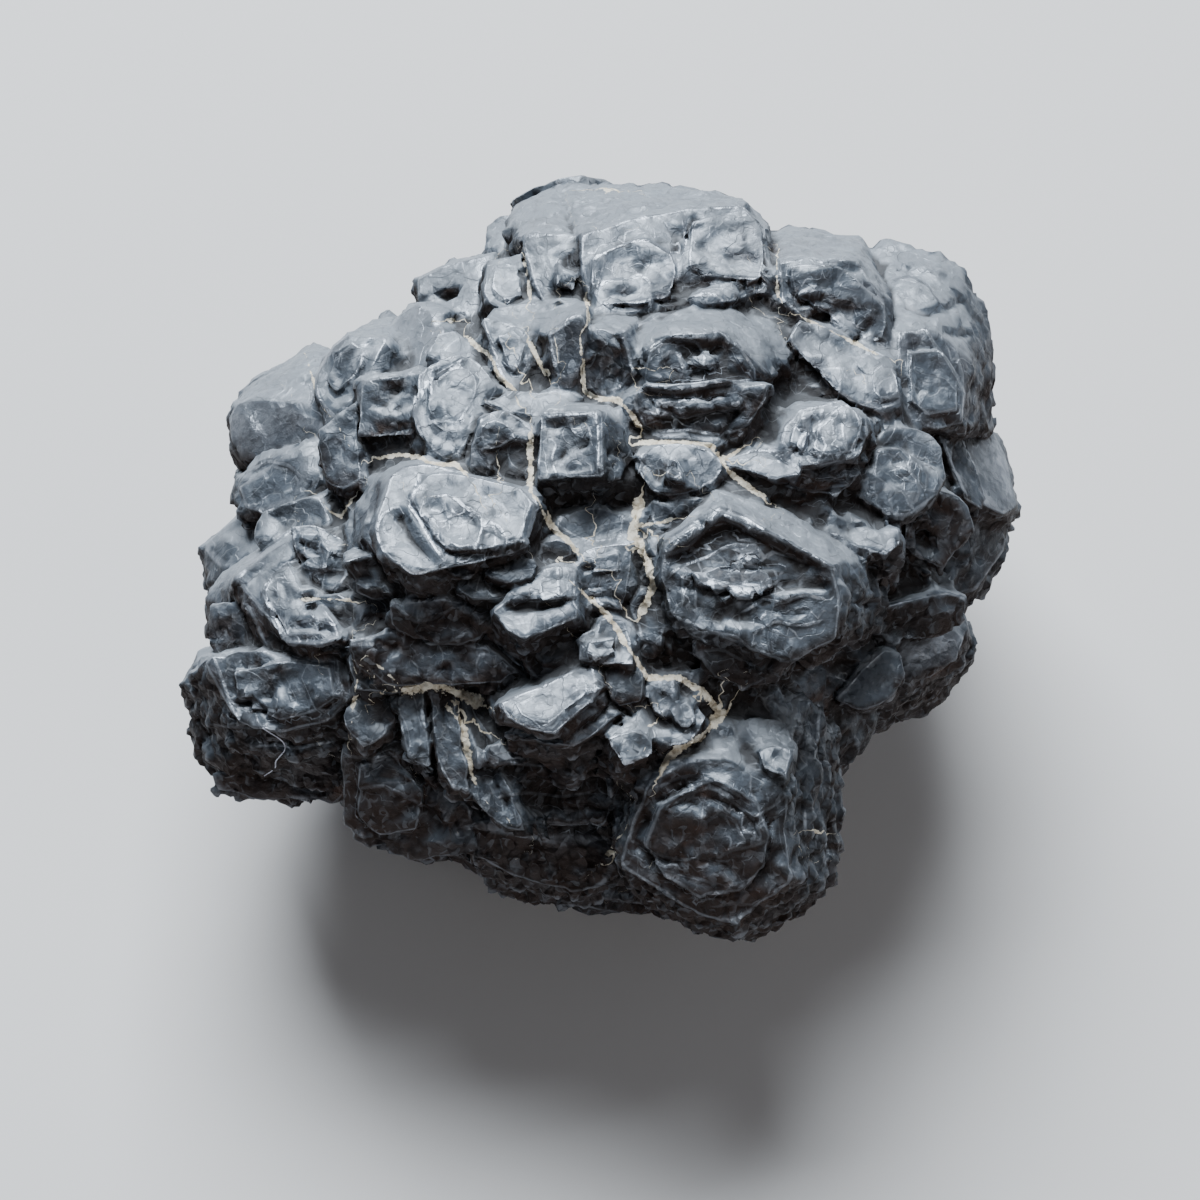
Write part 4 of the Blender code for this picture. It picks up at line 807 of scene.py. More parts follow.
def spread(axes, coarse, every):
    """Values known at each so-manieth point of the axes, filled in between."""
    for axis in range(3):
        at = np.arange(len(axes[axis])) / every
        whole = np.floor(at).astype(int)
        part = (at - whole).astype(np.float32)
        part = part.reshape([-1 if k == axis else 1 for k in range(3)])
        last = coarse.shape[axis] - 1
        whole = np.minimum(whole, last)
        low, high = np.take(coarse, whole, axis=axis), np.take(coarse, np.minimum(whole + 1, last), axis=axis)
        coarse = low + (high - low) * part
    return coarse


def one_crystal(members, axes, low, count):
    """The distance to one crystal and its plates, in a window round it."""
    reach = 1.1
    corners = np.vstack([PARTS[m][1] for m in members])
    start = np.maximum(np.floor((corners.min(axis=0) - reach - low) / STEP).astype(int), 0)
    stop = np.minimum(np.ceil((corners.max(axis=0) + reach - low) / STEP).astype(int) + 1, count)
    window = tuple(slice(start[a], stop[a]) for a in range(3))
    x, y, z = (axes[a][window[a]] for a in range(3))
    best = None
    for m in members:
        side = None
        for a, b, c, d in SIDES[m]:
            value = (a * x[:, None] + b * y[None, :] - d).astype(np.float32)[:, :, None] + (c * z).astype(np.float32)[None, None, :]
            side = value if side is None else np.maximum(side, value, out=side)
        a, b, c = PARTS[m][2]
        cap = (a * x[:, None] + b * y[None, :] - PARTS[m][3]).astype(np.float32)[:, :, None] + (c * z).astype(np.float32)[None, None, :]
        together = np.maximum(side, cap)
        blend = np.clip(1 - np.abs(side - cap) / 0.06, 0, 1)
        together += blend * blend * np.float32(0.06 / 4)
        if best is None:
            best, which = together, np.full(together.shape, m, np.int16)
        else:
            closer = together < best
            best = np.where(closer, together, best)
            which = np.where(closer, np.int16(m), which)
    return window, best, which


def field():
    margin = 1.3
    low, high = _low - margin, _high + margin
    count = np.ceil((high - low) / STEP).astype(int) + 1
    axes = [(low[a] + STEP * np.arange(count[a])).astype(np.float32) for a in range(3)]
    shape = tuple(count)

    # The core, found on a coarser grid.
    coarse = [np.append(axis[::5], axis[-1] + 5 * STEP).astype(np.float32) for axis in axes]
    rough = np.full(tuple(len(axis) for axis in coarse), -99.0, np.float32)
    for a, b, c, d in hull_planes(core_points()):
        np.maximum(rough, (a * coarse[0][:, None, None] + b * coarse[1][None, :, None] + c * coarse[2][None, None, :] - d).astype(np.float32), out=rough)
    first = np.minimum(spread(axes, rough, 5), np.float32(9.0))
    second = np.full(shape, 9.0, np.float32)
    piece = np.full(shape, -1, np.int16)

    for m, part in enumerate(PARTS):
        planes = hull_planes(part[1])
        is_cap = (planes[:, :3] @ part[2] > 0.995) & (np.abs(planes[:, 3] - part[3]) < 0.12)
        SIDES[m] = planes[~is_cap]
    groups = {}
    for m, part in enumerate(PARTS):
        groups.setdefault(part[0], []).append(m)
    with ThreadPoolExecutor(4) as pool:
        made = pool.map(lambda members: one_crystal(members, axes, low, count), groups.values())
        for window, best, which in made:
            old = first[window]
            closer = best < old
            second[window] = np.where(closer, old, np.minimum(second[window], best))
            first[window] = np.where(closer, best, old)
            piece[window] = np.where(closer, which, piece[window])
    return axes, first, second, piece


# A gap that a ball of this radius (mm) can't enter is filled up to this far (mm) under its mouth: narrow cracks nearly
# to the brim, and wide holes only in their depths.
FILLS = ((0.66, 0.20), (1.10, 0.60))


def filled(axes, first):
    """The field with its inner hollows and the depths of its cracks filled."""
    half = first[::2, ::2, ::2]
    whole = np.full_like(half, 9.0)
    for ball, sunk in FILLS:
        open_ = half > ball
        reached = np.zeros_like(open_)
        for axis in range(3):
            for end in (0, -1):
                np.moveaxis(reached, axis, 0)[end] = np.moveaxis(open_, axis, 0)[end]
        before = -1
        while reached.sum() != before:
            before = reached.sum()
            for axis in range(3):
                way, free = np.moveaxis(reached, axis, 0), np.moveaxis(open_, axis, 0)
                for order in (range(1, len(way)), range(len(way) - 2, -1, -1)):
                    step = 1 if order[0] == 1 else -1
                    for i in order:
                        way[i] |= way[i - step] & free[i]
        taps = math.ceil((ball + sunk) / (2 * STEP)) + 1
        away = np.where(reached, np.float32(0), np.float32(999))
        for axis in range(3):
            source = np.moveaxis(away, axis, 0)
            found = source.copy()
            for k in range(1, taps):
                found[k:] = np.minimum(found[k:], source[:-k] + np.float32(k * k))
                found[:-k] = np.minimum(found[:-k], source[k:] + np.float32(k * k))
            away = np.moveaxis(found, 0, axis)
        away = np.minimum(np.sqrt(away), taps - 0.5) * np.float32(2 * STEP)
        for axis in range(3):
            view = np.moveaxis(away, axis, 0)
            view[1:-1] = (view[:-2] + 2 * view[1:-1] + view[2:]) * np.float32(0.25)
        fill = ball + sunk - away
        whole = np.minimum(whole, np.where(fill > 0.5, np.float32(9), np.where(fill < -0.3, np.float32(-9), fill)))
    return np.minimum(first, spread(axes, whole, 2))


# Faces turned this way are also painted paler in the material (painted light), and those turned from it stay dark
# (painted shade).
POLISH_AND_LIGHT_WAY = UP + 0.15 * TOWARDS  # faces turned this way are worn smooth, those turned from it are grained


def worn_smooth_and_lit(facing):
    """1 where the surface faces the side rubbed smooth and turned up to the light, 0 where it faces away; the material
    paints faces paler by it (painted light) and leaves those turned away dark (painted shade).
    """
    return smooth_step(-0.45, 0.75, facing @ POLISH_AND_LIGHT_WAY.astype(np.float32))


def relief(points, first, second, piece, side, facing, drawn_in=None, fields=False):
    """How far the surface lies under the plain crystals at these points."""
    known = (piece >= 0).astype(np.float32)
    index = np.maximum(piece, 0)
    normal = NORMALS[index]
    cap = np.einsum("ij,ij->i", points, normal) - OFFSETS[index]
    steps, contours, wrinkles, grains, pits, rings, ribs = TRAITS[index].T
    own = GROUPS[index] * np.float32(3.77)
    depth = -cap
    over = cap - side  # 0 on the rim of the cap
    on_cap = smooth_step(-0.10, 0.02, over) * known
    off_cap = 1 - on_cap
    smooth = worn_smooth_and_lit(facing)
    coarse = 1 - 0.8 * smooth
    guard = 0.25 + 0.75 * smooth_step(0.03, 0.45, np.abs(over))  # the rims themselves stay straight

    wide = noise(points, 3.2, 0)
    medium = noise(points, 1.5, 1)
    fine = noise(points, 0.8, 2)
    pressed = points + (cap * np.float32(1.4))[:, None] * normal
    bed = noise(pressed, 1.5, 3, 4.0)

    # Growth steps on the sides: layers parallel to the cap, each set in or out by its own amount.
    tread = np.float32(0.85) + np.float32(0.26) * np.sin(own * 1.7)
    layer_at = (depth + 0.26 * wide + 0.08 * medium) / tread
    layer = np.floor(layer_at)
    within = layer_at - layer
    shifted = points + (layer * np.float32(5.17) + own)[:, None] * np.array((1, 0.63, 0.41), np.float32)
    set_in = noise(shifted, 2.6, 1)
    set_in = np.round(set_in * 2.2) / 2.2
    notch = np.exp(-((np.minimum(within, 1 - within) * tread) / 0.09) ** 2)
    stepped = 0.24 * set_in + 0.13 * notch * smooth_step(-0.3, 0.5, medium)
    stepped *= smooth_step(0.10, 0.40, depth) * (0.4 + 0.6 * coarse)
    out = off_cap * steps * stepped * known

    # Plates with straight edges and contour steps on the caps, and rings parallel to the cap's outline.
    near1, near2, number, tilt = cells(points + 0.18 * medium[:, None], 2.1, 0)
    hill = 0.75 * wide + 0.42 * medium + 0.1 * np.sin(own)
    contour = stair(hill, 0.46, 0.08) * 0.46
    flat = on_cap * contours * guard
    out -= flat * (0.09 * number + 0.17 * tilt) * (0.5 + 0.5 * coarse)
    out += flat * 0.24 * (0.25 * hill - contour + 0.23)
    inset = np.maximum(-side, 0)
    out += on_cap * rings * 0.3 * (0.24 - 0.22 * np.minimum(stair(inset + 0.12 * wide, 0.75, 0.10), 4))
    out += on_cap * known * 0.06 * smooth_step(0.06, 0.16, inset) * smooth_step(-0.1, 0.5, wide + 0.5 * fine)
    out -= known * 0.02 * np.exp(-((over / 0.10) ** 2))

    # Chipped facets, more on the coarse sides.
    near3, near4, number2, tilt2 = cells(points + 0.12 * medium[:, None], 1.25, 2)
    out += (0.10 * number2 + 0.28 * tilt2) * (0.22 + 0.78 * coarse) * guard * (0.5 + 0.5 * np.minimum(wrinkles, 1))

    # Wrinkles, grains and pits.
    folds = 1 - np.abs(bed + 0.25 * fine) * 1.7
    out -= wrinkles * 0.16 * np.maximum(folds, 0) ** 2 * (0.35 + 0.65 * on_cap * coarse) * guard
    nearest, next_one, number3, tilt3 = cells(points + 0.10 * fine[:, None], 0.80, 1)
    bead = smooth_step(0.02, 0.34, next_one - nearest)
    rough = np.minimum(grains * (1.0 - 0.6 * on_cap) * coarse * 1.0 + 0.04, 1.3)
    out += rough * (0.20 * (0.6 - bead) + 0.10 * number3 + 0.16 * tilt3) * guard
    hole = smooth_step(0.44, 0.18, nearest) * smooth_step(0.0, 0.35, noise(points, 1.9, 3, 9.0))
    out += 0.22 * pits * hole * guard
    out += 0.025 * fine * guard + 0.04 * medium * off_cap

    # Upright ribs along the crystal's own axis.
    if (ribs > 0).any():
        across = points - cap[:, None] * normal
        out += 0.14 * ribs * np.maximum(noise(across, 0.9, 2), 0) * off_cap

    # Cracks where two crystals meet.
    gap = second - first
    width = 0.10 + 0.05 * np.maximum(medium, 0)
    out += 0.22 * np.exp(-(gap / width) ** 2) * smooth_step(-0.8, 0.2, wide + 0.5 * medium)
    out += (1 - known) * (0.20 * bead + 0.15 * medium - 0.1)
    if drawn_in is not None:
        out += drawn_in
    out = np.clip(out, -BAND + 0.12, BAND - 0.12).astype(np.float32)
    if not fields:
        return out
    return {
        "rim": over, "cap": on_cap, "hill": hill, "layer": layer_at, "gap": gap,
        "grain": rough * known, "smooth": smooth,
    }


# ---- ledges, ridges and recesses drawn on the seen side
def drawn_at(points):
    """Drawing positions of these points (millimetres, before the shift)."""
    reach = points - EYE.astype(np.float32)
    along = VIEW_DISTANCE / -(reach @ TOWARDS.astype(np.float32))
    x = (reach @ RIGHT.astype(np.float32)) * along / DRAWING_UNIT + DRAWING_CENTRE[0]
    y = DRAWING_CENTRE[1] - (reach @ UP.astype(np.float32)) * along / DRAWING_UNIT
    return np.stack([x, y], axis=1)


def line_offsets(at, points):
    """Signed distance from the line (more to the left as one goes along it) and how far past its ends, in drawing units."""
    best = np.full(len(at), 1e9, np.float32)
    signed = np.zeros(len(at), np.float32)
    past = np.zeros(len(at), np.float32)
    points = np.array(points, np.float32)
    for k, (a, b) in enumerate(zip(points[:-1], points[1:])):
        length = np.hypot(*(b - a))
        way = (b - a) / length
        along = (at - a) @ way
        kept = np.clip(along, 0, length)
        rest = at - a - kept[:, None] * way
        gap = np.hypot(rest[:, 0], rest[:, 1])
        left = rest[:, 0] * way[1] - rest[:, 1] * way[0]
        closer = gap < best
        best = np.where(closer, gap, best)
        signed = np.where(closer, np.where(left >= 0, gap, -gap), signed)
        end = np.zeros(len(at), np.float32)
        if k == 0:
            end = np.maximum(end, -along)
        if k == len(points) - 2:
            end = np.maximum(end, along - length)
        past = np.where(closer, end, past)
    return signed, past


def line_box(at, line, reach):
    """Which of these drawing positions come near the line."""
    line = np.array(line)
    low, high = line.min(axis=0) - reach, line.max(axis=0) + reach
    return np.flatnonzero((at[:, 0] > low[0]) & (at[:, 0] < high[0]) & (at[:, 1] > low[1]) & (at[:, 1] < high[1]))


def drawn_relief(points, piece):
    """What the drawn ledges, ridges and recesses take away at these points (mm), more in a hollow."""
    out = np.zeros(len(points), np.float32)
    front = np.flatnonzero(points @ TOWARDS.astype(np.float32) > -3.5)
    at = drawn_at(points[front])
    for height, fall, words in LEDGES:
        line = points_of(words)
        near = line_box(at, line, 30)
        signed, past = line_offsets(at[near], line)
        signed = signed * np.float32(DRAWING_UNIT)
        fade = smooth_step(0.35, 0.0, past * np.float32(DRAWING_UNIT))
        lip = smooth_step(-0.07, 0.07, signed) * np.exp(-np.maximum(signed, 0) / fall)
        foot = smooth_step(0.05, -0.10, signed) * np.exp(np.minimum(signed, 0) / fall)
        out[front[near]] -= (height * fade * (0.6 * lip - 0.4 * foot)).astype(np.float32)
    for height, half, words in RIDGES + [(-depth, half, words) for depth, half, words in GROOVES]:
        line = points_of(words)
        near = line_box(at, line, 20)
        signed, past = line_offsets(at[near], line)
        out[front[near]] -= (height * np.exp(-((signed / half) ** 2)) * smooth_step(6.0, 0.0, past)).astype(np.float32)
    # Recesses in the caps.
    for crystal in CRYSTALS:
        hollows = [(o, h) for o, h in crystal["plates"] if h < 0]
        if not hollows:
            continue
        cap, normal = cap_points(crystal["cap"], crystal["lift"], crystal["n"])
        for outline, height in hollows:
            rays = np.array([on_plane(*p) for p in outline]) - EYE
            ring = EYE + rays * ((cap[0] - EYE) @ normal / (rays @ normal))[:, None]
            near = line_box(at, outline, 8)
            close = points[front[near]] @ normal.astype(np.float32) - float(cap[0] @ normal)
            near = near[np.abs(close) < 1.2]
            if not len(near):
                continue
            middle = ring.mean(axis=0)
            inside = np.full(len(near), -9.0, np.float32)
            for a, b in zip(ring, np.roll(ring, -1, axis=0)):
                side = np.cross(b - a, normal)
                side /= np.linalg.norm(side)
                side *= np.sign((a - middle) @ side)
                inside = np.maximum(inside, (points[front[near]] - a.astype(np.float32)) @ side.astype(np.float32))
            out[front[near]] += np.float32(-height) * smooth_step(0.10, -0.14, inside)
    return out


def surface_net(axes, distance):
    """One vertex in each cell that the surface crosses, joined in quads."""
    inside = distance < 0
    n = np.array(inside.shape)
    some = inside[:-1] | inside[1:]
    every = inside[:-1] & inside[1:]
    some = some[:, :-1] | some[:, 1:]
    every = every[:, :-1] & every[:, 1:]
    some = some[:, :, :-1] | some[:, :, 1:]
    every = every[:, :, :-1] & every[:, :, 1:]
    some &= ~every
    flat = np.flatnonzero(some.reshape(-1))
    cell = np.stack(np.unravel_index(flat, some.shape), axis=1).astype(np.int32)
    del every
    numbers = np.full(some.shape, -1, np.int32)
    numbers.reshape(-1)[flat] = np.arange(len(cell), dtype=np.int32)
    del some
    offsets = [(i, j, k) for i in (0, 1) for j in (0, 1) for k in (0, 1)]
    start = (cell[:, 0].astype(np.int64) * n[1] + cell[:, 1]) * n[2] + cell[:, 2]
    values = distance.reshape(-1)
    value = np.stack([values[start + (i * n[1] + j) * n[2] + k] for i, j, k in offsets], axis=1)
    total = np.zeros((len(cell), 3), np.float32)
    crossed = np.zeros(len(cell), np.float32)
    for a in range(8):
        for b in range(a + 1, 8):
            way = np.array(offsets[b]) - np.array(offsets[a])
            if np.abs(way).sum() != 1:
                continue
            over = (value[:, a] < 0) != (value[:, b] < 0)
            share = np.where(over, value[:, a] / np.where(over, value[:, a] - value[:, b], 1), 0)
            total += over[:, None] * (np.array(offsets[a], np.float32) + share[:, None] * way.astype(np.float32))
            crossed += over
    position = (cell + total / crossed[:, None]) * np.float32(STEP) + np.array([axis[0] for axis in axes], np.float32)
    faces = []
    for axis in range(3):
        u, v = (axis + 1) % 3, (axis + 2) % 3
        a = [slice(1, n[k] - 1) for k in range(3)]
        a[axis] = slice(0, n[axis] - 1)
        b = list(a)
        b[axis] = slice(1, n[axis])
        first, second = inside[tuple(a)], inside[tuple(b)]
        changed = first != second
        at = np.flatnonzero(changed.reshape(-1))
        edge = np.stack(np.unravel_index(at, changed.shape), axis=1)
        flip = second[tuple(edge.T)]
        edge = edge + np.array([s.start for s in a])
        around = []
        for du, dv in ((0, 0), (-1, 0), (-1, -1), (0, -1)):
            where = edge.copy()
            where[:, u] += du
            where[:, v] += dv
            around.append(numbers[tuple(where.T)])
        quad = np.stack(around, axis=1)
        quad[flip] = quad[flip][:, ::-1]
        faces.append(quad)
    return position, np.concatenate(faces)


def biggest_body(count, faces):
    """Which vertices belong to the largest joined surface."""
    ends = np.concatenate([faces[:, [0, 1]], faces[:, [1, 2]], faces[:, [2, 3]], faces[:, [3, 0]]])
    label = np.arange(count)
    while True:
        lowest = np.minimum(label[ends[:, 0]], label[ends[:, 1]])
        new = label.copy()
        np.minimum.at(new, ends[:, 0], lowest)
        np.minimum.at(new, ends[:, 1], lowest)
        new = np.minimum(new, new[new])
        new = new[new]
        if (new == label).all():
            break
        label = new
    names, counts = np.unique(label, return_counts=True)
    return label == names[counts.argmax()]


# ---- silt in the cracks of the seen side: lines on the drawing plane, each with a half width and a strength
SILT = [
    (4.0, 0.8, "525,262 528,280 530,300"),
    (4.0, 1.0, "588,300 588,325 580,335 583,375 585,395 600,400 620,400 633,412 640,425"),
    (4.0, 1.0, "470,340 480,350 490,355 500,380 515,393"),
    (4.0, 0.9, "530,345 535,358 545,375"),
    (5.0, 0.8, "380,458 400,456 420,460 430,467 455,465 475,485 478,492"),
    (6.0, 1.0, "530,435 531,460 530,490 540,500 548,515 560,530 578,550"),
    (5.0, 0.9, "640,440 712,445 716,452 722,465 742,480 765,497"),
    (5.0, 0.6, "712,452 722,460 740,448"),
    (9.0, 0.9, "640,500 636,520 633,540"),
    (6.0, 0.7, "633,528 650,524 672,520"),
    (7.0, 1.0, "640,540 648,560 655,585 648,600 642,610"),
    (6.0, 1.0, "590,600 600,608 610,620 620,635 628,650 636,665 645,678 662,680 680,680 700,690 712,705 722,720"),
    (8.0, 1.0, "700,735 680,745 668,758 660,775"),
    (10.0, 0.8, "722,712 716,720 705,728"),
    (6.0, 0.7, "355,655 360,680 355,705 352,735"),
    (7.0, 0.7, "372,660 388,672 400,682"),
    (16.0, 0.75, "405,688 430,684 455,690 478,702"),
    (9.0, 0.8, "445,700 460,720 468,745 472,765"),
    (7.0, 0.55, "470,765 478,790 492,808 512,822"),
    (4.0, 0.9, "802,314 820,325 835,332 855,342 885,357"),
    (4.0, 0.7, "778,265 777,280 778,295"),
    (5.0, 0.6, "320,500 330,512 340,516 352,500"),
    (6.0, 0.5, "300,600 330,600 350,602"),
    (4.0, 0.6, "300,345 320,405 340,430"),
    (5.0, 0.6, "560,560 566,575 590,600"),
    (6.0, 0.5, "612,860 618,845 628,822"),
    (6.0, 0.6, "592,870 610,850 616,838"),
    (4.0, 0.5, "645,742 640,727 652,724"),
]
SPECKS = [(450, 320, 3), (650, 368, 4), (818, 832, 4), (640, 505, 5), (643, 520, 5), (700, 700, 5), (608, 189, 9)]


def boxed(values, taps, turns):
    """The average over a small cube round each grid point."""
    half = taps // 2
    for _ in range(turns):
        for axis in range(3):
            view = np.moveaxis(values, axis, 0)
            total = view.copy()
            for k in range(1, half + 1):
                total[k:] += view[:-k]
                total[:k] += view[:1]
                total[:-k] += view[k:]
                total[-k:] += view[-1:]
            values = np.moveaxis(total * np.float32(1 / taps), 0, axis)
    return values


def looked_up(values, axes, points, every=1):
    """Values on the grid, or on each so-manieth point of it, filled in at these points."""
    at = (points - np.array([axis[0] for axis in axes], np.float32)) * np.float32(1 / (STEP * every))
    at = np.clip(at, 0, np.array(values.shape, np.float32) - np.float32(1.001))
    low = at.astype(np.int32)
    part = at - low
    flat = values.reshape(-1)
    n = values.shape
    start = (low[:, 0] * n[1] + low[:, 1]) * n[2] + low[:, 2]
    total = np.zeros(len(points), np.float32)
    for i in (0, 1):
        for j in (0, 1):
            for k in (0, 1):
                share = (part[:, 0] if i else 1 - part[:, 0]) * (part[:, 1] if j else 1 - part[:, 1]) * (part[:, 2] if k else 1 - part[:, 2])
                total += share * flat[start + (i * n[1] + j) * n[2] + k]
    return total


def side_at(points, pieces):
    """How far each point stands out of the sides of its own piece."""
    sides = np.zeros(len(points), np.float32)
    order = np.argsort(pieces, kind="stable")
    ordered = pieces[order]
    starts = np.flatnonzero(np.diff(ordered, prepend=-9))
    for start, stop in zip(starts, np.append(starts[1:], len(order))):
        if ordered[start] < 0:
            continue
        mine = order[start:stop]
        planes = SIDES[ordered[start]].astype(np.float32)
        sides[mine] = (points[mine] @ planes[:, :3].T - planes[:, 3]).max(axis=1)
    return sides


def raw_mesh(name, position, faces):
    mesh = bpy.data.meshes.new(name)
    mesh.vertices.add(len(position))
    mesh.vertices.foreach_set("co", position.astype(np.float32).reshape(-1))
    mesh.loops.add(faces.size)
    mesh.loops.foreach_set("vertex_index", faces.astype(np.int32).reshape(-1))
    mesh.polygons.add(len(faces))
    mesh.polygons.foreach_set("loop_start", np.arange(0, faces.size, faces.shape[1], dtype=np.int32))
    mesh.update(calc_edges=True)
    return mesh


def thinned_mesh(position, faces):
    """The surface brought down to MOST_TRIANGLES; the work is done in millimetres."""
    mesh = raw_mesh("stone_full", position, faces)
    full = bpy.data.objects.new("stone_full", mesh)
    bpy.context.scene.collection.objects.link(full)
    thin = full.modifiers.new("thin", "DECIMATE")
    thin.ratio = min(1.0, MOST_TRIANGLES / (2 * len(faces)))
    bpy.context.view_layer.update()
    thinned = bpy.data.meshes.new_from_object(full.evaluated_get(bpy.context.evaluated_depsgraph_get()))
    bpy.data.objects.remove(full)
    bpy.data.meshes.remove(mesh)
    # Faces that lie back to back on the same corners enclose nothing, and both of them go.
    work = bmesh.new()
    work.from_mesh(thinned)
    twins = {}
    for face in work.faces:
        twins.setdefault(frozenset(corner.index for corner in face.verts), []).append(face)
    bmesh.ops.delete(work, geom=[face for same in twins.values() if len(same) > 1 for face in same], context="FACES")
    work.to_mesh(thinned)
    work.free()
    return thinned


def stone_mesh():
    axes, first, second, piece = field()
    print("field", first.shape, round(time.time() - STARTED, 1), "s")
    whole = filled(axes, first)
    print("filled", round(time.time() - STARTED, 1), "s")
    flat = np.flatnonzero(np.abs(whole).reshape(-1) < BAND)
    whole_flat, first_flat, second_flat = whole.reshape(-1), first.reshape(-1), second.reshape(-1)
    piece_flat = piece.reshape(-1)

    origin = np.array([axis[0] for axis in axes], np.float32)
    along = (whole.shape[1] * whole.shape[2], whole.shape[2], 1)

    def one_stretch(start):
        """The relief is found at the foot of each point on the plain surface, so that it is the same all along the normal."""
        some = flat[start:start + 250_000]
        at = np.unravel_index(some, whole.shape)
        points = np.stack([axes[a][at[a]] for a in range(3)], axis=1)
        slope = np.stack([whole_flat[some + along[a]] - whole_flat[some - along[a]] for a in range(3)], axis=1)
        slope /= np.maximum(np.linalg.norm(slope, axis=1, keepdims=True), 1e-6)
        points = points - slope * whole_flat[some][:, None]
        pieces = piece_flat[some]
        return some, relief(points, first_flat[some], second_flat[some], pieces, side_at(points, pieces), slope, drawn_relief(points, pieces))

    carved = np.zeros(len(flat), np.float32)
    with ThreadPoolExecutor(4) as pool:
        for number, (some, down) in enumerate(pool.map(one_stretch, range(0, len(flat), 250_000))):
            carved[number * 250_000:number * 250_000 + len(some)] = down
    whole_flat[flat] += carved
    for axis in range(3):
        view = np.moveaxis(whole, axis, 0)
        view[1:-1] += (view[:-2] + view[2:] - 2 * view[1:-1]) * np.float32(SOFTEN)
    floor = _low[2] + REST_TRIM
    whole = np.maximum(whole, (floor - axes[2])[None, None, :].astype(np.float32))
    print("relief", len(flat), round(time.time() - STARTED, 1), "s")
    position, faces = surface_net(axes, whole)
    keep = biggest_body(len(position), faces)
    number = np.cumsum(keep) - 1
    faces = number[faces[keep[faces[:, 0]]]]
    position = position[keep]
    print("net", len(position), len(faces), round(time.time() - STARTED, 1), "s")
    thinned = thinned_mesh(position, faces)
    count = len(thinned.vertices)
    position = np.empty(count * 3, np.float32)
    thinned.vertices.foreach_get("co", position)
    position = position.reshape(-1, 3)
    normal = np.empty(count * 3, np.float32)
    thinned.vertices.foreach_get("normal", normal)
    normal = normal.reshape(-1, 3)
    print("thinned", count, len(thinned.polygons), "seen", round(float((position @ TOWARDS > 0).mean()), 3), round(time.time() - STARTED, 1), "s")

    # How far each point stands out of its surroundings, near and wide.
    half = np.clip(whole[::2, ::2, ::2], -1, 1)
    near = boxed(half, 3, 2)
    edge = looked_up(near, axes, position, 2) - looked_up(half, axes, position, 2)
    form = looked_up(boxed(near, 7, 2), axes, position, 2)
    del half, near

    # The crystal that each point belongs to, and where on it.
    cell = np.round((position - np.array([axis[0] for axis in axes], np.float32)) / np.float32(STEP)).astype(np.int32)
    pieces = piece[tuple(cell.T)]
    firsts, seconds = looked_up(first, axes, position), looked_up(second, axes, position)
    facts = relief(position, firsts, seconds, pieces, side_at(position, pieces), normal, None, True)
    crack = np.exp(-(facts["gap"] / 0.30) ** 2)
    at = drawn_at(position)
    # The nearest drawn ledge or ridge line and its strength, which the material paints as a bright line: a painted
    # highlight.
    line = np.full(count, 0.6, np.float32)
    lit = np.zeros(count, np.float32)
    seen = np.flatnonzero((position @ TOWARDS.astype(np.float32) > -3.5) & (normal @ TOWARDS.astype(np.float32) > -0.3))
    for height, _, words in LEDGES + RIDGES:
        points = points_of(words)
        close = line_box(at[seen], points, 22)
        signed, past = line_offsets(at[seen[close]], points)
        signed = signed * np.float32(DRAWING_UNIT)
        strength = smooth_step(0.3, 0.05, past * np.float32(DRAWING_UNIT)) * smooth_step(0.75, 0.35, np.abs(signed)) * min(1.0, 0.35 + abs(height) / 0.3)
        better = np.abs(signed) < np.abs(line[seen[close]])
        line[seen[close]] = np.where(better, signed, line[seen[close]])
        lit[seen[close]] = np.where(better, strength, lit[seen[close]])

    # Silt: the signed distance (mm) to the nearest drawn line of it, and that line's half width (mm) and strength.
    seep = np.full(count, 3.0, np.float32)
    reach = np.full(count, 0.25, np.float32)
    silt = np.zeros(count, np.float32)
    best = np.full(count, -9.0, np.float32)
    for half_width, strength, words in SILT + [(r, 1.0, f"{x - 1},{y} {x + 1},{y}") for x, y, r in SPECKS]:
        points = points_of(words)
        half = max(half_width * 0.62, 3.0) * DRAWING_UNIT
        mine = seen[line_box(at[seen], points, 40)]
        signed, past = line_offsets(at[mine], points)
        gap = np.hypot(signed, np.maximum(past, 0)) * np.where(signed < 0, -1, 1) * np.float32(DRAWING_UNIT)
        share = 1 - np.abs(gap) / half
        better = share > best[mine]
        mine, gap = mine[better], gap[better]
        best[mine], seep[mine], reach[mine], silt[mine] = share[better], gap, half, strength
    # On the hidden sides it lies here and there in the cracks.
    ragged = noise(position, 0.8, 3)
    hidden = smooth_step(0.3, -0.2, normal @ TOWARDS.astype(np.float32)) * (position @ TOWARDS < 4)
    # How smooth each face is, raised on the caps of the hidden side. The material paints faces with high values paler,
    # as lit (painted light), and the rest dark (painted shade).
    smooth_and_lit = np.maximum(facts["smooth"], 0.60 * facts["cap"] * hidden)
    smooth_and_lit = np.minimum(smooth_and_lit, 1 - 0.25 * hidden)
    patchy = hidden * smooth_step(0.1, 0.55, noise(position, 5.5, 0, 3.0)) * smooth_step(0.5, 0.95, crack + 0.3 * ragged)
    seep = np.where(patchy > 0.02, 0.3 * (1 - patchy), seep)
    silt = np.where(patchy > 0.02, 0.8, silt)
    thick = smooth_step(0.0, 0.6, 1 - np.abs(seep) / reach) * silt
    position = position + normal * (thick * (0.05 + 0.05 * ragged))[:, None]

    # The whole is gently out of true, as grown crystals are.
    bend = np.stack([noise(position, 4.6, s, 5.0 * s) for s in (0, 1, 2)], axis=1) * 0.12
    bend += np.stack([noise(position, 1.5, s, 31.0 * s) for s in (1, 2, 3)], axis=1) * 0.05
    above = smooth_step(0.0, 1.2, position[:, 2] - floor)
    position = position + bend * above[:, None]

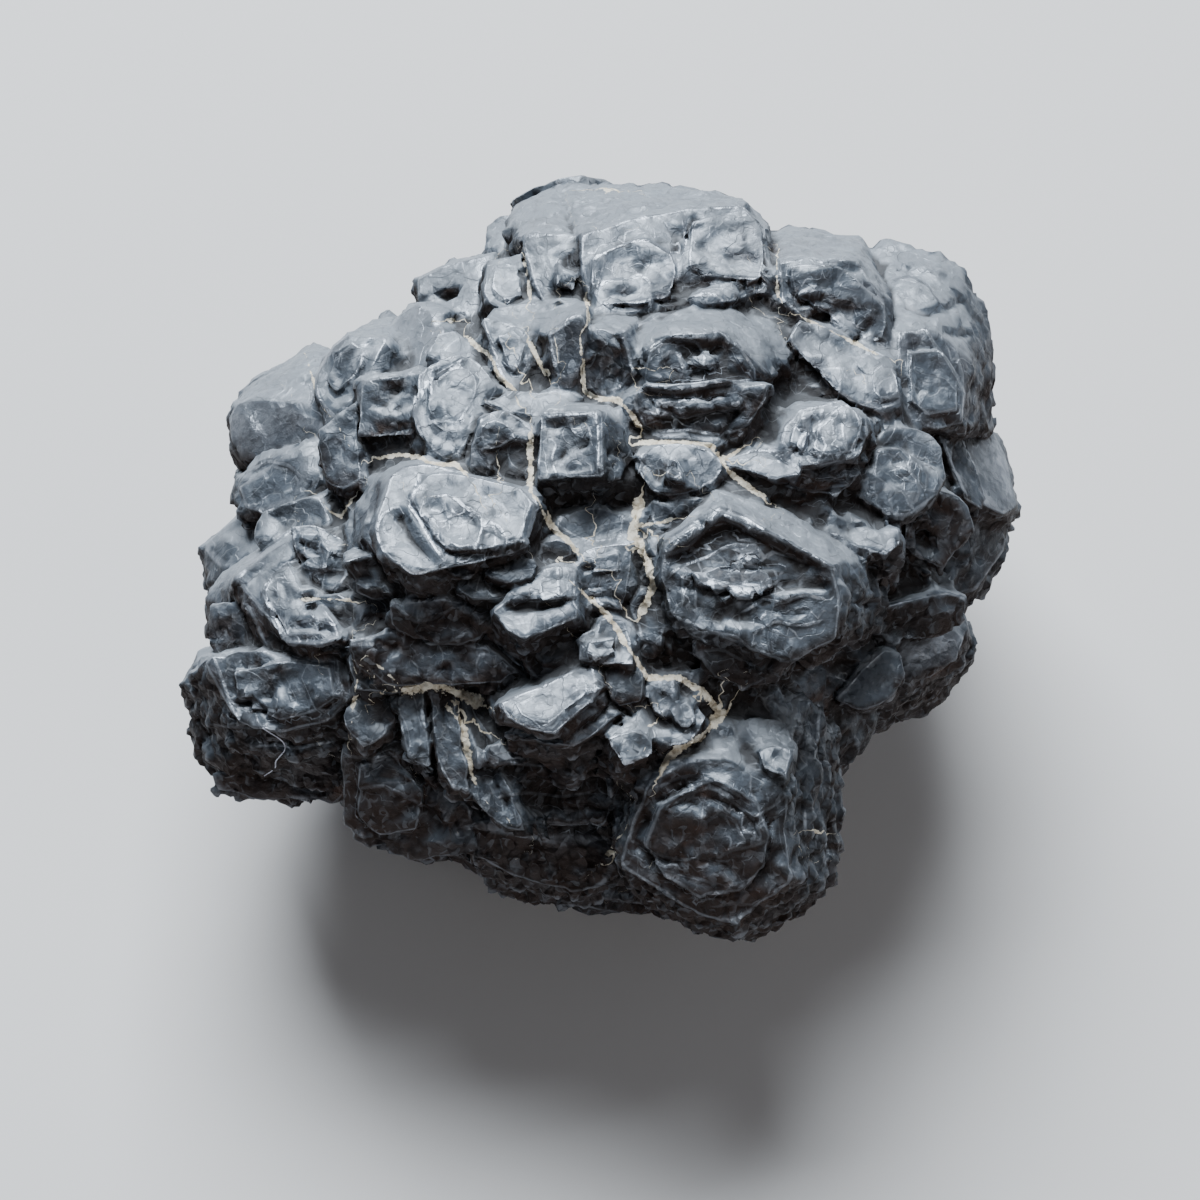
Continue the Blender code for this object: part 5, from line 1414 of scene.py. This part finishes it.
    thinned.vertices.foreach_set("co", ((position + SHIFT) * MM).astype(np.float32).reshape(-1))
    thinned.update()
    thinned.name = "stone_surface"
    tints = np.random.default_rng(4).uniform(0, 1, 400).astype(np.float32)
    tint = np.where(pieces >= 0, tints[GROUPS[np.maximum(pieces, 0)].astype(int)], 0.5)
    for name, values in (
        ("crack", crack), ("cap", facts["cap"]), ("edge", edge), ("form", form), ("silt", silt), ("seep", seep), ("reach", reach),
        ("tint", tint),
        ("rim", facts["rim"]), ("hill", facts["hill"]), ("layer", facts["layer"]), ("grain", facts["grain"]),
        ("smooth", smooth_and_lit), ("line", line), ("lit", lit),
    ):
        layer = thinned.attributes.new(name, "FLOAT", "POINT")
        layer.data.foreach_set("value", values.astype(np.float32))
    thinned.shade_smooth()
    thinned.set_sharp_from_angle(angle=math.radians(46))
    stone = bpy.data.objects.new("stone_surface", thinned)
    bpy.context.scene.collection.objects.link(stone)
    print("mesh", round(time.time() - STARTED, 1), "s")
    return stone


# ---- materials
class Nodes:
    """A small helper that adds nodes to a material and links them."""

    def __init__(self, material):
        material.use_nodes = True
        self.tree = material.node_tree
        self.shader = self.tree.nodes["Principled BSDF"]

    def add(self, kind, settings=(), **inputs):
        node = self.tree.nodes.new(kind)
        for name, value in settings:
            setattr(node, name, value)
        for name, value in inputs.items():
            self.put(node.inputs[name.replace("_", " ")], value)
        return node

    def put(self, socket, value):
        if isinstance(value, bpy.types.NodeSocket):
            self.tree.links.new(value, socket)
        else:
            socket.default_value = value

    def math(self, operation, a, b=0.0, clamp=False):
        node = self.tree.nodes.new("ShaderNodeMath")
        node.operation, node.use_clamp = operation, clamp
        self.put(node.inputs[0], a)
        self.put(node.inputs[1], b)
        return node.outputs[0]

    def ramp(self, value, low, high, to_low=0.0, to_high=1.0):
        node = self.tree.nodes.new("ShaderNodeMapRange")
        node.interpolation_type = "SMOOTHSTEP"
        for slot, number in zip(range(5), (value, low, high, to_low, to_high)):
            self.put(node.inputs[slot], number)
        return node.outputs[0]

    def mix(self, share, a, b):
        node = self.tree.nodes.new("ShaderNodeMix")
        node.data_type = "RGBA"
        self.put(node.inputs[0], share)
        self.put(node.inputs[6], a)
        self.put(node.inputs[7], b)
        return node.outputs[2]

    def blend(self, share, a, b):
        node = self.tree.nodes.new("ShaderNodeMix")
        self.put(node.inputs[0], share)
        self.put(node.inputs[2], a)
        self.put(node.inputs[3], b)
        return node.outputs[0]

    def attribute(self, name):
        node = self.tree.nodes.new("ShaderNodeAttribute")
        node.attribute_type, node.attribute_name = "GEOMETRY", name
        return node.outputs["Fac"]

    def noise(self, place, scale, detail=3.0, roughness=0.55, distortion=0.0):
        node = self.add("ShaderNodeTexNoise", Vector=place, Scale=scale, Detail=detail, Roughness=roughness, Distortion=distortion)
        return node.outputs["Fac"]


def stone_material():
    material = bpy.data.materials.new("iron_stone")
    n = Nodes(material)
    place = n.add("ShaderNodeVectorMath", (("operation", "SCALE"),), Vector=n.add("ShaderNodeTexCoord").outputs["Object"], Scale=1000.0)
    place = place.outputs["Vector"]  # millimetres
    names = ("crack", "cap", "edge", "form", "tint", "rim", "hill", "layer", "grain", "smooth", "line", "lit")
    crack, cap, edge, form, tint, rim, hill, layer, grain, smooth, line, lit = (n.attribute(a) for a in names)
    silt, seep, reach = (n.attribute(a) for a in ("silt", "seep", "reach"))

    broad = n.noise(place, 0.09, 3.0)
    patch = n.noise(place, 0.40, 4.0, 0.6)
    middling = n.noise(place, 0.9, 3.0, 0.55)
    grit = n.noise(place, 2.6, 3.0, 0.65)
    coarse = n.math("SUBTRACT", 1.0, smooth)

    # Crystallites: small domes on the coarse faces, their seams painted dark (painted shade), and thin broken slabs
    # everywhere.
    bent = n.add("ShaderNodeVectorMath", (("operation", "ADD"),))
    n.put(bent.inputs[0], place)
    n.put(bent.inputs[1], n.add("ShaderNodeTexNoise", Vector=place, Scale=1.1, Detail=1.0).outputs["Color"])
    bent = bent.outputs["Vector"]
    grained = n.ramp(grain, 0.10, 0.8, 0.20, 1.0)

    def facets(scale, distance):
        """Cells with a flat top each, tilted its own way."""
        cells = n.add("ShaderNodeTexVoronoi", (("distance", distance),), Vector=bent, Scale=scale)
        lean = n.add("ShaderNodeVectorMath", (("operation", "SUBTRACT"),))
        n.put(lean.inputs[0], cells.outputs["Color"])
        n.put(lean.inputs[1], (0.5, 0.5, 0.5))
        arm = n.add("ShaderNodeVectorMath", (("operation", "SUBTRACT"),))
        n.put(arm.inputs[0], bent)
        n.put(arm.inputs[1], cells.outputs["Position"])
        tilt = n.add("ShaderNodeVectorMath", (("operation", "DOT_PRODUCT"),))
        n.put(tilt.inputs[0], lean.outputs["Vector"])
        n.put(tilt.inputs[1], arm.outputs["Vector"])
        return tilt.outputs["Value"], cells.outputs["Distance"]

    chip, grains = facets(1.9, "EUCLIDEAN")
    slab, _ = facets(0.80, "MANHATTAN")
    seam_shade = n.math("MULTIPLY", n.ramp(grains, 0.60, 0.80), grained)

    # Fine contour steps on the smooth faces.
    flow = n.noise(place, 0.62, 2.0, 0.5, 0.3)
    flight = n.math("MULTIPLY", flow, 5.0)
    tread = n.math("FRACT", flight)
    riser = n.ramp(tread, 0.44, 0.56)
    stair = n.math("ADD", n.math("FLOOR", flight), riser)
    contour = n.math("MULTIPLY", n.ramp(n.math("ABSOLUTE", n.math("SUBTRACT", tread, 0.5)), 0.09, 0.02), n.ramp(middling, 0.45, 0.60))

    # Lines: the caps' rims, the contour steps of their relief, the layers of the sides and the drawn ledges, painted
    # bright, more on the faces turned up to the light: painted highlights.
    def thin(value, outer, inner):
        return n.ramp(n.math("ABSOLUTE", value), outer, inner)

    clear = n.math("SUBTRACT", 1.0, crack)
    rim_line = n.math("MULTIPLY", thin(rim, 0.10, 0.02), n.math("MULTIPLY", clear, n.ramp(smooth, 0.1, 0.7, 0.45, 1.0)))
    hill_line = thin(n.math("SUBTRACT", n.math("FRACT", n.math("MULTIPLY", hill, 1 / 0.46)), 0.5), 0.06, 0.01)
    hill_line = n.math("MULTIPLY", n.math("MULTIPLY", hill_line, cap), n.ramp(patch, 0.40, 0.60))
    layer_line = thin(n.math("SUBTRACT", n.math("FRACT", n.math("ADD", layer, 0.42)), 0.5), 0.10, 0.03)
    layer_line = n.math("MULTIPLY", n.math("MULTIPLY", layer_line, n.math("SUBTRACT", 1.0, cap)), n.ramp(middling, 0.45, 0.65))
    drawn_line = n.math("MULTIPLY", thin(line, 0.12, 0.03), lit)
    highlight_lines = n.math("MAXIMUM", n.math("MULTIPLY", hill_line, 0.5), n.math("MULTIPLY", layer_line, 0.2))
    highlight_lines = n.math("MULTIPLY", n.math("MAXIMUM", highlight_lines, drawn_line), n.ramp(smooth, 0.1, 0.6, 0.12, 1.0))
    highlight_lines = n.math("MAXIMUM", n.math("MULTIPLY", rim_line, n.ramp(middling, 0.35, 0.60, 0.35, 0.9)), highlight_lines)

    raised = n.math("MAXIMUM", rim_line, drawn_line)
    # Charcoal to dark brown from place to place and from crystal to crystal.
    brown = n.ramp(n.math("ADD", n.math("MULTIPLY", broad, 1.2), n.math("ADD", n.math("MULTIPLY", tint, 0.35), n.math("MULTIPLY", coarse, 0.35))), 0.80, 1.15)
    ground = n.mix(brown, (0.018, 0.018, 0.020, 1), (0.031, 0.021, 0.018, 1))
    ground = n.mix(n.math("MULTIPLY", n.ramp(patch, 0.40, 0.66), 0.5), ground, (0.045, 0.044, 0.048, 1))
    # Faces turned up towards the light are painted a paler, bluish steel grey: painted light. The faces turned away
    # keep the dark ground: painted shade.
    painted_lit_grey = n.math("MULTIPLY", n.ramp(smooth, 0.05, 0.85), n.ramp(patch, 0.28, 0.60, 0.55, 1.0))
    ground = n.mix(painted_lit_grey, ground, (0.098, 0.120, 0.150, 1))
    # The most upturned faces are painted a pale grey sheen: a painted highlight.
    ground = n.mix(n.math("MULTIPLY", n.ramp(smooth, 0.82, 1.0), 0.8), ground, (0.36, 0.40, 0.45, 1))
    # Hollows and the seams between crystallites are painted near black and made dull: painted shade. Stand-out edges
    # are painted bright: painted highlights.
    hollow = n.ramp(n.math("ADD", edge, n.math("MULTIPLY", form, 0.25)), -0.05, -0.20)
    hollow = n.math("MAXIMUM", hollow, n.math("MULTIPLY", seam_shade, 0.85))
    ground = n.mix(n.math("MULTIPLY", hollow, 0.8), ground, (0.014, 0.011, 0.010, 1))
    painted_highlight = n.ramp(n.math("ADD", edge, n.math("MULTIPLY", n.math("SUBTRACT", grit, 0.5), 0.10)), 0.10, 0.20)
    # Small bright specks on the coarse faces: painted glints.
    glint_speck = n.math("MULTIPLY", n.ramp(chip, 0.05, 0.11), n.math("MULTIPLY", n.ramp(coarse, 0.2, 0.7), 0.18))
    painted_highlight = n.math("MAXIMUM", n.math("MULTIPLY", painted_highlight, 0.35), n.math("MAXIMUM", highlight_lines, glint_speck))
    # Edges, lines and specks painted a pale bluish grey: painted highlights.
    ground = n.mix(n.math("MULTIPLY", painted_highlight, 0.75), ground, (0.40, 0.44, 0.50, 1))
    # The contour steps of the upturned faces painted as pale lines: painted highlights.
    ground = n.mix(n.math("MULTIPLY", contour, n.math("MULTIPLY", smooth, 0.28)), ground, (0.40, 0.43, 0.46, 1))
    # Rust dust here and there.
    rust = n.math("MULTIPLY", n.ramp(n.noise(place, 0.21, 4.0, 0.65), 0.58, 0.74), n.ramp(edge, 0.04, -0.04, 0.25, 1.0))
    ground = n.mix(n.math("MULTIPLY", rust, n.ramp(smooth, 0.0, 0.8, 0.6, 0.15)), ground, (0.090, 0.046, 0.030, 1))
    # Silt, more in the hollows, with a crumbled edge.
    sunk = n.ramp(n.math("ADD", edge, n.math("MULTIPLY", form, 0.5)), 0.10, -0.15, -0.60, -0.05)
    share = n.math("SUBTRACT", silt, n.math("DIVIDE", n.math("ABSOLUTE", seep), reach))
    heap = n.math("ADD", n.math("ADD", share, sunk), n.math("MULTIPLY", n.math("SUBTRACT", grit, 0.5), 2.2))
    heap = n.math("ADD", heap, n.math("MULTIPLY", n.math("SUBTRACT", patch, 0.5), 1.2))
    silted = n.ramp(heap, 0.0, 0.2)
    cream = n.mix(n.ramp(grit, 0.38, 0.60), (0.58, 0.50, 0.37, 1), (0.84, 0.79, 0.67, 1))
    colour = n.mix(silted, ground, cream)
    n.put(n.shader.inputs["Base Color"], colour)

    metal = n.blend(hollow, n.ramp(smooth, 0.1, 0.8, 0.05, 0.34), 0.05)
    metal = n.blend(painted_highlight, metal, 0.8)
    n.put(n.shader.inputs["Metallic"], n.blend(silted, metal, 0.0))

    rough = n.ramp(grit, 0.3, 0.7, 0.45, 0.60)
    rough = n.blend(n.ramp(smooth, 0.1, 0.7), 0.58, rough)
    rough = n.blend(hollow, rough, 0.8)
    rough = n.blend(n.math("MULTIPLY", painted_highlight, 0.7), rough, 0.30)
    n.put(n.shader.inputs["Roughness"], n.blend(silted, rough, 0.92))
    n.put(n.shader.inputs["Specular IOR Level"], n.ramp(smooth, 0.05, 0.8, 0.12, 0.55))

    # Heights in millimetres.
    height = n.math("MULTIPLY", chip, n.math("MULTIPLY", grained, n.ramp(coarse, 0.0, 1.0, 0.85, 2.2)))
    height = n.math("ADD", height, n.math("MULTIPLY", slab, n.ramp(coarse, 0.0, 1.0, 0.45, 0.8)))
    height = n.math("ADD", height, n.math("MULTIPLY", stair, n.math("ADD", 0.01, n.math("MULTIPLY", smooth, 0.03))))
    height = n.math("ADD", height, n.math("MULTIPLY", flow, 0.12))
    height = n.math("ADD", height, n.math("MULTIPLY", grit, n.ramp(coarse, 0.0, 1.0, 0.06, 0.24)))
    height = n.math("ADD", height, n.math("MULTIPLY", raised, 0.02))
    bump = n.add("ShaderNodeBump", Strength=0.8, Distance=0.001, Height=height)
    n.put(n.shader.inputs["Normal"], bump.outputs["Normal"])
    return material


def plain_material(name, colour, roughness):
    material = bpy.data.materials.new(name)
    n = Nodes(material)
    n.put(n.shader.inputs["Base Color"], colour)
    n.put(n.shader.inputs["Roughness"], roughness)
    return material


# ---- the lint fibre that lies on the lower left crystal
LINT = ((263, 728), (270, 733), (279, 738), (285, 744), (285, 751), (279, 757), (275, 762), (276, 768), (270, 772), (264, 776))


def lint_fibre(stone):
    """A thin pale thread laid on the surface along the drawn line."""
    bpy.context.view_layer.update()
    eye = (EYE + SHIFT) * MM
    path = []
    for px, py in LINT:
        target = (on_plane(px, py) + SHIFT) * MM
        way = Vector(target - eye).normalized()
        hit, where, normal, _ = stone.ray_cast(Vector(eye), way)
        if hit:
            path.append(where - way * 0.00012)
    curve = bpy.data.curves.new("lint_fibre", "CURVE")
    curve.dimensions = "3D"
    curve.bevel_depth, curve.bevel_resolution, curve.resolution_u = 0.000028, 2, 6
    curve.use_fill_caps = True
    spline = curve.splines.new("NURBS")
    spline.points.add(len(path) - 1)
    for point, where in zip(spline.points, path):
        point.co = (*where, 1)
    spline.use_endpoint_u, spline.order_u = True, 3
    fibre = bpy.data.objects.new("lint_fibre", curve)
    bpy.context.scene.collection.objects.link(fibre)
    material = plain_material("lint", (0.55, 0.57, 0.66, 1), 0.8)
    curve.materials.append(material)
    return fibre


def area_light(name, place, aim, size, power, colour=(1, 1, 1), tall=None):
    light = bpy.data.lights.new(name, "AREA")
    light.shape = "RECTANGLE"
    light.size, light.size_y = size, tall or size
    light.energy, light.color = power, colour
    lamp = bpy.data.objects.new(name, light)
    bpy.context.scene.collection.objects.link(lamp)
    lamp.location = place
    lamp.rotation_euler = (Vector(aim) - Vector(place)).to_track_quat("-Z", "Y").to_euler()
    return lamp


def main():
    stone = stone_mesh()
    stone.data.materials.clear()
    stone.data.materials.append(stone_material())
    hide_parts("stone")
    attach(stone, "root")
    fibre = lint_fibre(stone)
    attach(fibre, "root")

    bpy.ops.mesh.primitive_plane_add(size=3.0)
    floor = bpy.context.object
    floor.name = "floor"
    floor.data.materials.append(plain_material("pale_floor", (0.72, 0.72, 0.73, 1), 0.85))

    world = bpy.data.worlds.new("studio")
    bpy.context.scene.world = world
    world.use_nodes = True
    world.node_tree.nodes["Background"].inputs["Color"].default_value = (0.86, 0.90, 1.0, 1)
    world.node_tree.nodes["Background"].inputs["Strength"].default_value = 0.10
    middle = (0.0, 0.0, 0.016)
    area_light("key", (-0.05, 0.17, 0.36), middle, 0.26, 3.7, (0.91, 0.96, 1.0))
    area_light("fill", (0.22, -0.30, 0.20), middle, 0.2, 0.34, (1.0, 0.95, 0.91))

    camera = bpy.data.cameras.new("camera")
    camera.lens, camera.sensor_width, camera.sensor_height = 100.0, 36.0, 36.0
    camera.clip_start, camera.clip_end = 0.005, 10.0
    viewer = bpy.data.objects.new("camera", camera)
    bpy.context.scene.collection.objects.link(viewer)
    viewer.location = Vector((EYE + SHIFT) * MM)
    viewer.rotation_euler = (math.radians(90 - VIEW_ELEVATION), 0.0, 0.0)
    bpy.context.scene.camera = viewer


main()
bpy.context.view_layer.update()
print("scene", round(time.time() - STARTED, 1), "s")
